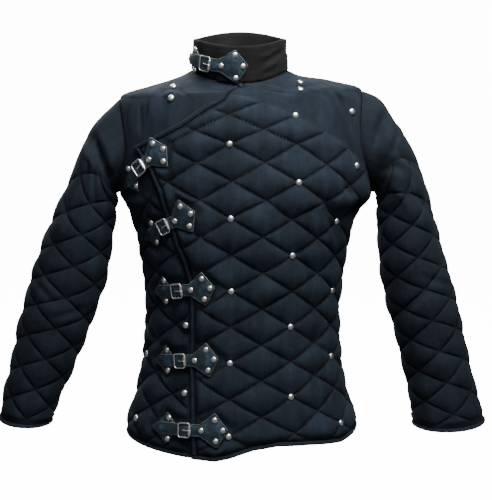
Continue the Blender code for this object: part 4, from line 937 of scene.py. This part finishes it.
floor_path = read_line(FRONT_HEM, LAP_EDGE[-1][0]) + BINDING + SEAM_GAP
lap_line = [(-3, NECK - 7), *LAP_EDGE[1:-1], (LAP_EDGE[-1][0], floor_path)]
hem_side = float(edge_u(-672, True))
bands = {
    "binding_lap_edge": make_band("lap_edge_band", lap_line, on_left),
    "binding_hem_left": make_band("hem_band_left", hem_line(FRONT_HEM, LAP_EDGE[-1][0], hem_side, 0),
                                  on_left),
    "binding_hem_right": make_band("hem_band_right", hem_line(FRONT_HEM, -hem_side, -38, 0), on_right),
    "binding_hem_back": make_band("hem_band_back", hem_line(BACK_HEM, hem_side, -hem_side, 0)[::-1],
                                  on_back),
}
for name, (side, twist, first, rows) in SLEEVES.items():
    place, out = sleeve_places[name][:2]
    count = 96
    faces = swept_faces(count, len(BAND), True)
    spin = math.tau * np.arange(count) / count
    backs, heights = np.array(BAND).T
    grid_turn, grid_back = np.meshgrid(spin, backs, indexing="ij")
    verts = place(rows[-1][0] - grid_back, grid_turn, np.tile(heights, (count, 1))).reshape(-1, 3)
    uv = np.stack([(grid_turn * 60).ravel(), grid_back.ravel()], 1) * MM
    # The cuff bands take the same tone: partly rubbed wear, partly painted light and shade
    bands["binding_cuff_" + name] = finish_mesh("cuff_band_" + name, verts, faces, binding_cotton, uv,
                                                np.clip(np.tile(0.5 + 0.4 * heights, count), 0, 1))

# Straps and plates
# Vegetable-tanned leather, dyed black and burnished: each strap ends in a riveted diamond on
# the left front, and a second diamond on the right front is folded round the buckle's bar.
LEATHER, REST, REACH = 2.5, 1.1, 132.0
BUCKLE_AT = 56.0
HOLE_SIDES = 12


def dyed_leather(name):
    """Black-dyed leather with fine grain and scuffs that show paler; its sheen is bluish by painted
    reflection, in a bluish specular tint and pale bluish base colours.
    """
    material, tree, shader = new_material(name)
    shader.inputs["Roughness"].default_value = 0.4
    shader.inputs["Coat Weight"].default_value = 0.9
    shader.inputs["Coat Roughness"].default_value = 0.4
    # The bluish specular tint is painted reflection
    shader.inputs["Specular Tint"].default_value = hex_colour("a9c6dc")
    place = add_node(tree, "ShaderNodeTexCoord").outputs["Object"]
    scuff_and_sheen = add_node(tree, "ShaderNodeTexNoise", links={"Vector": place}, Scale=70.0, Detail=5.0,
                     Roughness=0.65)
    # Paler bluish patches: partly scuffs, partly painted bluish reflection
    tone = shades(tree, scuff_and_sheen.outputs["Fac"], (0.3, "0b1217"), (0.52, "1b2a34"), (0.75, "3d5767"))
    tree.links.new(tone, shader.inputs["Base Color"])
    rough = add_node(tree, "ShaderNodeMapRange", links={"Value": scuff_and_sheen.outputs["Fac"]},
                     To_Min=0.3, To_Max=0.55)
    tree.links.new(rough.outputs["Result"], shader.inputs["Roughness"])
    grain = add_node(tree, "ShaderNodeTexVoronoi", {"feature": "DISTANCE_TO_EDGE"}, {"Vector": place},
                     Scale=650.0)
    bump = add_node(tree, "ShaderNodeBump", links={"Height": grain.outputs["Distance"]}, Strength=0.25,
                    Distance=0.0004)
    tree.links.new(bump.outputs["Normal"], shader.inputs["Normal"])
    return material


def cut_edge(name):
    """Bare cut side of the leather: paler, dry fibres."""
    material, tree, shader = new_material(name)
    shader.inputs["Roughness"].default_value = 0.75
    place = add_node(tree, "ShaderNodeTexCoord").outputs["Object"]
    fibre = add_node(tree, "ShaderNodeTexNoise", links={"Vector": place}, Scale=400.0, Detail=3.0)
    tree.links.new(shades(tree, fibre.outputs["Fac"], (0.3, "3a3f3d"), (0.7, "767c76")),
                   shader.inputs["Base Color"])
    return material


leather, leather_edge = dyed_leather("black_dyed_leather"), cut_edge("cut_leather_edge")


def strap_height(along):
    over, low = LIFT + 1.2 + 0.6, REST + LEATHER + 0.7
    return over + (low - over) * smooth((along - 60) / 24)


def rounded(outline, radius, steps=3):
    """The outline with its corners rounded."""
    outline, made = np.array(outline, float), []
    for before, corner, after in zip(np.roll(outline, 1, 0), outline, np.roll(outline, -1, 0)):
        reach = min(radius, np.linalg.norm(before - corner) / 3, np.linalg.norm(after - corner) / 3)
        a = corner + unit(before - corner) * reach
        b = corner + unit(after - corner) * reach
        for k in range(steps + 1):
            t = k / steps
            made.append(tuple((1 - t)**2 * a + 2 * t * (1 - t) * corner + t**2 * b))
    return made


def inset(outline, away):
    closed = [outline[-1]] + list(outline) + [outline[0]]
    return shift_line(closed, away)[1:-1]


def make_hide(name, outline, at, height, holes=()):
    """Leather with a bevelled edge and a pressed line beside it."""
    outline = rounded(outline, 3)
    outline = split_line(outline + [outline[0]], 3)[:-1]
    inner = inset(outline, 0.55)
    step = 3.0
    xs, ys = np.array(outline).T
    grid = np.array([(x, y) for x in np.arange(xs.min(), xs.max(), step)
                     for y in np.arange(ys.min(), ys.max(), step)])
    grid = grid[inside(grid, inner)]
    groove = inset(outline, 2.6)
    grid = grid[distance_to(grid, inner, True) > 4.2]
    lines = np.vstack([inset(outline, 1.9), groove, inset(outline, 3.3)])
    points = np.vstack([grid, lines])
    hole = None
    if holes:
        hx, hy, r = holes[0]
        turns_round = [math.tau * k / HOLE_SIDES for k in range(HOLE_SIDES)]
        hole = [(hx + r * math.cos(t), hy + r * math.sin(t)) for t in turns_round]
        points = points[np.hypot(points[:, 0] - hx, points[:, 1] - hy) > r + 0.7]
    top = flat_triangles([tuple(p) for p in inner], points, hole)
    flat = np.vstack([inner] + ([hole] if holes else []) + [points])
    pressed = -0.45 * smooth(1 - distance_to(flat, groove, True) / 0.8)
    swell = 1.8 * smooth(distance_to(flat, outline, True) / 17)
    upper = at(flat[:, 0], flat[:, 1], height(flat[:, 0]) + LEATHER - 0.4 + pressed + swell)
    rim = np.array(outline)
    shoulder = at(rim[:, 0], rim[:, 1], height(rim[:, 0]) + LEATHER - 0.75)
    foot = at(rim[:, 0], rim[:, 1], height(rim[:, 0]))
    under = flat_triangles(outline, grid[::2])
    lower = at(grid[::2, 0], grid[::2, 1], height(grid[::2, 0]))
    n, a, b = len(rim), len(upper), len(upper) + len(rim)
    faces, marks = list(top), [0] * len(top)
    for i in range(n):
        j = (i + 1) % n
        faces += [(i, a + i, a + j, j), (a + i, b + i, b + j, a + j)]
        marks += [1, 1]
    faces += [tuple(b + k for k in f[::-1]) for f in under]
    marks += [0] * len(under)
    verts = [upper, shoulder, foot, lower]
    if holes:
        # The buckle hole is punched as a dark dimple, one wall deep
        deep = at(np.array(hole)[:, 0], np.array(hole)[:, 1], height(np.array(hole)[:, 0]) + 0.4)
        start = sum(len(v) for v in verts)
        verts.append(deep)
        faces += [(n + k, n + (k + 1) % HOLE_SIDES, start + (k + 1) % HOLE_SIDES, start + k)
                  for k in range(HOLE_SIDES)]
        faces.append(tuple(start + k for k in range(HOLE_SIDES)))
        marks += [0] * (HOLE_SIDES + 1)
    piece = finish_mesh(name, np.vstack(verts), faces, [leather, leather_edge], sharp=35)
    piece.data.polygons.foreach_set("material_index", marks)
    return piece


def along_strap(place, u, path, direction):
    """Placing by distances along and across a strap."""
    c, s = math.cos(math.radians(direction)), math.sin(math.radians(direction))

    def at(along, across, height):
        return place(u + along * c - across * s, path + along * s + across * c, height)
    return at


PLACES = {name: along_strap(on_body, u, path, turn) for name, u, path, turn in CLOSURES}
PLACES["closure_collar"] = along_strap(on_collar, -6, 28.5, 182)
RIVETS = ((1, 19), (1, -19), (-12, 0), (25, 0))
hides, rivet_points, rivet_outs = {}, [], []
for name, at in PLACES.items():
    tall = 28 if name == "closure_collar" else 32
    strap = [(-21, 0), (0, -tall), (28, -11), (REACH - 20, -11), (REACH, 0), (REACH - 20, 11),
             (28, 11), (0, tall)]
    tall = min(tall - 3, 30)
    plate = [(51, -9), (79, -9), (97, -tall), (127, 0), (97, tall), (79, 9), (51, 9)]
    hides[name + "_strap"] = make_hide(name + "_strap_leather", strap, at, strap_height, [(104, 0, 1.9)])
    hides[name + "_plate"] = make_hide(name + "_plate_leather", plate, at, lambda a: REST + 0 * a)
    for x, y in RIVETS + ((93, 19), (93, -19)):
        floor = (REST if x > 90 else float(strap_height(x))) + LEATHER
        point, above = at(float(x), float(y), floor - 0.1), at(float(x), float(y), floor + 1)
        rivet_points.append(point)
        rivet_outs.append(unit(above - point))

# Rivets and studs
# Domed heads of nickel-plated brass: rivets clench the leather, and larger studs tuft the
# quilting where its lines cross.


def nickel_plate(name):
    """Polished nickel over brass: bright and slightly warm, with a fine haze of handling."""
    material, tree, shader = new_material(name)
    shader.inputs["Metallic"].default_value = 1.0
    shader.inputs["Base Color"].default_value = hex_colour("f2f3f1")
    place = add_node(tree, "ShaderNodeTexCoord").outputs["Object"]
    haze = add_node(tree, "ShaderNodeTexNoise", links={"Vector": place}, Scale=380.0, Detail=3.0)
    rough = add_node(tree, "ShaderNodeMapRange", links={"Value": haze.outputs["Fac"]},
                     To_Min=0.26, To_Max=0.44)
    tree.links.new(rough.outputs["Result"], shader.inputs["Roughness"])
    return material


nickel = nickel_plate("polished_nickel_plate")


def new_tree(name, *sockets):
    """Geometry node tree with a geometry input and named inputs."""
    tree = bpy.data.node_groups.new(name, "GeometryNodeTree")
    tree.interface.new_socket("Geometry", in_out="INPUT", socket_type="NodeSocketGeometry")
    tree.interface.new_socket("Geometry", in_out="OUTPUT", socket_type="NodeSocketGeometry")
    found = {}
    for label, kind in sockets:
        found[label] = tree.interface.new_socket(label, in_out="INPUT", socket_type=kind).identifier
    tree.nodes.new("NodeGroupInput")
    return tree, found


def run_tree(name, tree, found, verts, edges, outs, values):
    """Runs a tree on points with their outward directions, and returns a plain mesh piece."""
    mesh = bpy.data.meshes.new(name)
    mesh.from_pydata([tuple(v) for v in verts], edges, [])
    ways = mesh.attributes.new("out", "FLOAT_VECTOR", "POINT")
    ways.data.foreach_set("vector", np.asarray(outs, np.float32).ravel())
    seed = add_object(name + "_points", mesh)
    modifier = seed.modifiers.new(name, "NODES")
    modifier.node_group = tree
    for label, value in values.items():
        modifier[found[label]] = value
    bpy.context.view_layer.update()
    ready = seed.evaluated_get(bpy.context.evaluated_depsgraph_get())
    made = bpy.data.meshes.new_from_object(ready)
    bpy.data.objects.remove(seed)
    made.name = name
    return add_object(name, made)


dome_tree, dome_sockets = new_tree("domed_heads", ("Radius", "NodeSocketFloat"),
                                   ("Height", "NodeSocketFloat"), ("Metal", "NodeSocketMaterial"))
given = dome_tree.nodes["Group Input"].outputs
ball = add_node(dome_tree, "GeometryNodeMeshUVSphere", Segments=20, Rings=12, Radius=1.0)
spot = add_node(dome_tree, "GeometryNodeInputPosition")
parts = add_node(dome_tree, "ShaderNodeSeparateXYZ", links={0: spot.outputs[0]})
flat_side = add_node(dome_tree, "ShaderNodeMath", {"operation": "MAXIMUM"}, {0: parts.outputs["Z"]})
flat_side.inputs[1].default_value = -0.12
tall, wide_x, wide_y = [
    add_node(dome_tree, "ShaderNodeMath", {"operation": "MULTIPLY"}, {0: part, 1: given[label]})
    for part, label in ((flat_side.outputs[0], "Height"), (parts.outputs["X"], "Radius"),
                        (parts.outputs["Y"], "Radius"))]
joined = add_node(dome_tree, "ShaderNodeCombineXYZ",
                  links={"X": wide_x.outputs[0], "Y": wide_y.outputs[0], "Z": tall.outputs[0]})
head = add_node(dome_tree, "GeometryNodeSetPosition",
                links={"Geometry": ball.outputs["Mesh"], "Position": joined.outputs[0]})
smooth_head = add_node(dome_tree, "GeometryNodeSetShadeSmooth", links={"Geometry": head.outputs[0]})
way = add_node(dome_tree, "GeometryNodeInputNamedAttribute", {"data_type": "FLOAT_VECTOR"}, Name="out")
turned = add_node(dome_tree, "FunctionNodeAlignRotationToVector", {"axis": "Z"}, {"Vector": way.outputs[0]})
placed = add_node(dome_tree, "GeometryNodeInstanceOnPoints",
                  links={"Points": given["Geometry"], "Instance": smooth_head.outputs[0],
                         "Rotation": turned.outputs[0]})
real = add_node(dome_tree, "GeometryNodeRealizeInstances", links={0: placed.outputs[0]})
plated = add_node(dome_tree, "GeometryNodeSetMaterial",
                  links={"Geometry": real.outputs[0], "Material": given["Metal"]})
add_node(dome_tree, "NodeGroupOutput", links={0: plated.outputs[0]})

rivets = run_tree("rivet_heads", dome_tree, dome_sockets, rivet_points, [], rivet_outs,
                  {"Radius": 5.4 * MM, "Height": 3.1 * MM, "Metal": nickel})

STUD_ROWS = ((0, 0, -4, 5), (2, 2, 0, 1), (2, -2, -4, 4), (4, -4, -4, 4))
STUD_POINTS = ((222, -62), (224, -150), (110, 5), (118, 60), (-128, -24), (-134, 55), (-109, -438),
               (-107, -564), (-239, -512), (-230, -633))
stud_flat = [tuple(float(v) for v in quilt_point(np.array(c, float), np.array(a + s * k, float),
                                                 FRONT_COLUMN))
             for c, a, s, n in STUD_ROWS for k in range(n)] + list(STUD_POINTS)
stud_flat = np.array(stud_flat, float)
on_left_front = inside(stud_flat, LEFT_REGION)
stud_height = np.where(on_left_front, left_height(stud_flat), right_height(stud_flat)) + 0.9
stud_points = on_body(stud_flat[:, 0], stud_flat[:, 1], stud_height)
stud_outs = body_out(stud_flat[:, 0], stud_flat[:, 1], False)
studs = run_tree("stud_heads", dome_tree, dome_sockets, stud_points, [], stud_outs,
                 {"Radius": 6.2 * MM, "Height": 4.0 * MM, "Metal": nickel})

# Buckles
# Bent and brazed wire of nickel-plated steel: a rounded rectangular frame, a tube that rolls
# on its near side, a middle bar under the strap and a flattened tongue.


def tube(points, radii, sides=10, closed=False, squash=1.0, up=(0, 0, 1)):
    """Round bar through points in a plane, its ends closed flat."""
    points, up = np.array(points, float), np.array(up, float)
    count = len(points)
    if closed:
        ways = unit(np.roll(points, -1, 0) - np.roll(points, 1, 0))
    else:
        ways = unit(np.gradient(points, axis=0))
    verts = []
    for k in range(count):
        side = unit(np.cross(ways[k], up))
        rise = np.cross(side, ways[k])
        for i in range(sides):
            t = math.tau * i / sides
            verts.append(points[k] + radii[k] * (side * math.cos(t) + rise * math.sin(t) * squash))
    return verts, swept_faces(count, sides, closed)


def join_parts(parts):
    verts, faces = [], []
    for some, more in parts:
        faces += [tuple(len(verts) + i for i in f) for f in more]
        verts += list(some)
    return np.array(verts), faces


BUCKLE_LONG, BUCKLE_WIDE, BAR = 25.0, 28.5, 1.2
buckles, tongues = {}, {}
for name, at in PLACES.items():
    centre = at(BUCKLE_AT, 0.0, 0.0)
    along = unit(at(BUCKLE_AT + 1, 0.0, 0.0) - at(BUCKLE_AT - 1, 0.0, 0.0))
    out = unit(np.cross(along, at(BUCKLE_AT, 1.0, 0.0) - at(BUCKLE_AT, -1.0, 0.0)))
    across = np.cross(out, along)
    turned_to = np.array([along, across, out]) * MM
    level = float(strap_height(BUCKLE_AT)) + LEATHER + 0.4 + BAR
    half_long, half_wide, bend = BUCKLE_LONG / 2 - BAR, BUCKLE_WIDE / 2 - BAR, 4.0
    ring = []
    for quarter, (fore, beside) in enumerate(((1, 1), (-1, 1), (-1, -1), (1, -1))):
        for k in range(7):
            t = math.radians(90 * quarter + 15 * k)
            ring.append((fore * (half_long - bend) + bend * math.cos(t),
                         beside * (half_wide - bend) + bend * math.sin(t), level))
    roller_at = -half_long
    rolled = half_wide - bend - 0.4
    roller = [(roller_at, -rolled, level + 0.3), (roller_at, -rolled + 0.5, level + 0.3),
              (roller_at, rolled - 0.5, level + 0.3), (roller_at, rolled, level + 0.3)]
    under = float(strap_height(BUCKLE_AT)) - 1.6
    bar = [(0, -half_wide, level), (0, -half_wide, under + 2), (0, -half_wide + 2.5, under), (0, 0, under),
           (0, half_wide - 2.5, under), (0, half_wide, under + 2), (0, half_wide, level)]
    verts, faces = join_parts([
        tube(ring, [BAR] * len(ring), closed=True),
        tube(roller, [2.1, 2.6, 2.6, 2.1], sides=16),
        tube(bar, [1.25] * 7, up=(1, 0, 0))])
    buckles[name + "_buckle"] = finish_mesh(name + "_buckle_frame", centre + verts @ turned_to,
                                            faces, nickel, sharp=40)
    top = level + 0.3 + 2.4 + 1.0
    spine = [(2.4, 0, level - 0.4), (1.2, 0, level + 1.2), (-1.5, 0, level + 1.5), (-5, 0, level + 1.8),
             (roller_at + 6, 0, top - 0.4), (roller_at + 2, 0, top + 0.1), (roller_at - 0.8, 0, top),
             (roller_at - 2.2, 0, top - 0.7)]
    verts, faces = tube(spine, [1.3, 1.4, 1.4, 1.35, 1.3, 1.25, 1.1, 0.7], squash=0.75, up=(0, 1, 0))
    tongues[name + "_tongue"] = finish_mesh(name + "_tongue_pin", centre + np.array(verts) @ turned_to,
                                            faces, nickel, sharp=40)

# Stitching
# Black waxed thread, run by machine along every quilting line of the fronts and the back.


def waxed_thread(name):
    """Cotton thread, waxed: a little smoother and paler than the cloth."""
    material, tree, shader = new_material(name)
    shader.inputs["Roughness"].default_value = 0.6
    place = add_node(tree, "ShaderNodeTexCoord").outputs["Object"]
    ply = add_node(tree, "ShaderNodeTexNoise", links={"Vector": place}, Scale=900.0, Detail=2.0)
    tone = shades(tree, ply.outputs["Fac"], (0.35, "0b0e12"), (0.7, "1a2028"))
    tree.links.new(tone, shader.inputs["Base Color"])
    return material


thread = waxed_thread("waxed_black_thread")
stitch_tree, stitch_sockets = new_tree(
    "machine_stitches", ("Pitch", "NodeSocketFloat"), ("Length", "NodeSocketFloat"),
    ("Thickness", "NodeSocketFloat"), ("Thread", "NodeSocketMaterial"))
given = stitch_tree.nodes["Group Input"].outputs
lines_in = add_node(stitch_tree, "GeometryNodeMeshToCurve", links={0: given["Geometry"]})
spaced = add_node(stitch_tree, "GeometryNodeResampleCurve", {"mode": "LENGTH"},
                  {"Curve": lines_in.outputs[0], "Length": given["Pitch"]})
one = add_node(stitch_tree, "GeometryNodeMeshIcoSphere", Radius=1.0, Subdivisions=1)
size_of = add_node(stitch_tree, "ShaderNodeCombineXYZ",
                   links={"X": given["Length"], "Y": given["Thickness"], "Z": given["Thickness"]})
shaped = add_node(stitch_tree, "GeometryNodeTransform",
                  links={"Geometry": one.outputs["Mesh"], "Scale": size_of.outputs[0]})
heading = add_node(stitch_tree, "GeometryNodeInputTangent")
way = add_node(stitch_tree, "GeometryNodeInputNamedAttribute", {"data_type": "FLOAT_VECTOR"}, Name="out")
first_turn = add_node(stitch_tree, "FunctionNodeAlignRotationToVector", {"axis": "X"},
                      {"Vector": heading.outputs[0]})
second_turn = add_node(stitch_tree, "FunctionNodeAlignRotationToVector", {"axis": "Z", "pivot_axis": "X"},
                       {"Vector": way.outputs[0], "Rotation": first_turn.outputs[0]})
laid = add_node(stitch_tree, "GeometryNodeInstanceOnPoints",
                links={"Points": spaced.outputs[0], "Instance": shaped.outputs[0],
                       "Rotation": second_turn.outputs[0]})
real = add_node(stitch_tree, "GeometryNodeRealizeInstances", links={0: laid.outputs[0]})
dyed = add_node(stitch_tree, "GeometryNodeSetMaterial",
                links={"Geometry": real.outputs[0], "Material": given["Thread"]})
add_node(stitch_tree, "NodeGroupOutput", links={0: dyed.outputs[0]})


THREAD_PROUD = 0.25


def sew(name, runs):
    """Stitches along runs of points with outward directions."""
    verts, edges, outs = [], [], []
    for points, ways in runs:
        edges += [(len(verts) + i, len(verts) + i + 1) for i in range(len(points) - 1)]
        verts += list(points)
        outs += list(ways)
    return run_tree(name, stitch_tree, stitch_sockets, verts, edges, outs,
                    {"Pitch": 4.6 * MM, "Length": 1.75 * MM, "Thickness": 0.42 * MM, "Thread": thread})


def quilt_runs(column, outline, stitched, height, back):
    """The quilting's lines, cut where a panel is plain or another piece lies on it."""
    runs = []
    for k in range(-20, 20):
        for lean in (1, -1):
            other = np.arange(-40, 40, 0.08)
            across, up = k * 1.0 + other, lean * (k * 1.0 - other)
            u, path = quilt_point(across, up, column)
            flat = np.stack([u, path], 1)
            keep = in_reach(u, path)
            keep[keep] = inside(flat[keep], outline)
            clear = distance_to(flat[keep], outline, True) > 5
            keep[keep] = clear & stitched(flat[keep], across[keep], up[keep])
            for run in np.split(np.arange(len(flat)), np.flatnonzero(np.diff(keep.astype(int))) + 1):
                if keep[run[0]] and len(run) > 3:
                    f = flat[run]
                    runs.append((on_body(f[:, 0], f[:, 1], height(f) + THREAD_PROUD, back),
                                 body_out(f[:, 0], f[:, 1], back)))
    return runs


def left_stitched(flat, across, up):
    return across + up < YOKE + 0.05


def right_stitched(flat, across, up):
    return (up < -2.5) & ~inside(flat, LEFT_REGION) & (distance_to(flat, LAP_EDGE) > 2)


def back_stitched(flat, across, up):
    return abs(across) + up < YOKE + 0.05


STITCHED = (
    ("stitching_front_left", FRONT_COLUMN, left_outline, left_stitched, left_height, False),
    ("stitching_front_right", FRONT_COLUMN, right_outline, right_stitched, right_height, False),
    ("stitching_back", 0, back_outline, back_stitched, back_height, True),
)
stitches = [sew(name, quilt_runs(*run)) for name, *run in STITCHED]

# Joining to the frame
# Every piece belongs to the one worn body of the jacket.
SHEETS = (
    (front_left, "front_left", (0.52, 0.83), 0.30), (front_right, "front_right", (0.34, 0.83), 0.20),
    (back, "back", (0.66, 0.83), 0.42), (sleeves["right"], "sleeve_right", (0.42, 0.58), 0.22),
    (sleeves["left"], "sleeve_left", (0.42, 0.60), 0.23), (collar, "collar", (0.66, 0.062), 0.04),
)
for piece, node, flat, area in SHEETS:
    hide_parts(node)
    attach(piece, "root")
for node, piece in bands.items():
    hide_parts(node)
    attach(piece, "root")
for group, slot in ((hides, "leather"), (buckles, "nickel"), (tongues, "nickel")):
    for node, piece in group.items():
        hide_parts(node)
        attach(piece, "root")
for piece in (rivets, studs):
    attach(piece, "root")
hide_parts(*[f"stud_{n:02d}" for n in range(1, 25)])
for piece in stitches:
    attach(piece, "root")

# Studio
# Plain pale floor, soft light from above and in front, and the photograph's view.
FLOOR, FLAT_REACH, BOWL_BEND, BOWL_TOP, SECTORS = -1.02, 4.5, 2.5, 6.0, 72
PAPER_GLOW, ROOM_GLOW = 14, 0.15
# Lamps: place, where they point, size and power
LAMPS = (("key", (0.32, -0.72, 1.15), (0, 0, -0.1), 1.0, 63),
         ("fill", (-1.2, -2.4, 1.2), (0, 0, -0.1), 1.4, 5),
         ("rear", (-0.7, 2.0, 1.4), (0, 0, -0.2), 1.6, 85))
# Camera: lens and sensor in millimetres, place, and how many degrees it looks down
LENS, SENSOR, VIEW_FROM, LOOK_DOWN = 79.56, 36.0, (0.0076, -2.1, 0.03), 9.4
sweep = [(0.02, 0), (FLAT_REACH, 0)]
sweep += [(FLAT_REACH + BOWL_BEND * math.sin(t), BOWL_BEND * (1 - math.cos(t)))
          for t in np.linspace(0, math.pi / 2, 25)[1:]]
sweep.append((sweep[-1][0], BOWL_TOP))
bowl = bpy.data.meshes.new("pale_floor_and_backdrop")
bowl.from_pydata([(r * math.cos(math.tau * k / SECTORS), r * math.sin(math.tau * k / SECTORS), FLOOR + z)
                  for r, z in sweep for k in range(SECTORS)], [],
                 [(i * SECTORS + k, i * SECTORS + (k + 1) % SECTORS, (i + 1) * SECTORS + (k + 1) % SECTORS,
                   (i + 1) * SECTORS + k) for i in range(len(sweep) - 1) for k in range(SECTORS)]
                 + [tuple(range(SECTORS))])
bowl.shade_smooth()
backdrop = add_object("pale_floor_and_backdrop", bowl)
paper, _, paper_shader = new_material("white_paper")
paper_shader.inputs["Base Color"].default_value = (0.9, 0.9, 0.9, 1)
paper_shader.inputs["Roughness"].default_value = 0.9
paper_shader.inputs["Emission Color"].default_value = (1, 1, 1, 1)
paper_shader.inputs["Emission Strength"].default_value = PAPER_GLOW
bowl.materials.append(paper)
# The paper is lit on its own, evenly white, and throws no light on the cloth
backdrop.visible_diffuse = backdrop.visible_glossy = backdrop.visible_shadow = False

world = bpy.data.worlds.new("studio")
world.use_nodes = True
world.node_tree.nodes["Background"].inputs["Color"].default_value = (1, 1, 1, 1)
world.node_tree.nodes["Background"].inputs["Strength"].default_value = ROOM_GLOW
bpy.context.scene.world = world


for name, place, target, size, power in LAMPS:
    lamp = bpy.data.lights.new(name, "AREA")
    lamp.size, lamp.energy = size, power
    item = add_object(name, lamp)
    item.location = place
    item.rotation_euler = (Vector(target) - Vector(place)).to_track_quat("-Z", "Y").to_euler()

view = bpy.data.cameras.new("view")
view.lens, view.sensor_width = LENS, SENSOR
camera = add_object("view", view)
camera.location = VIEW_FROM
camera.rotation_euler = (math.radians(90 - LOOK_DOWN), 0, 0)
bpy.context.scene.camera = camera
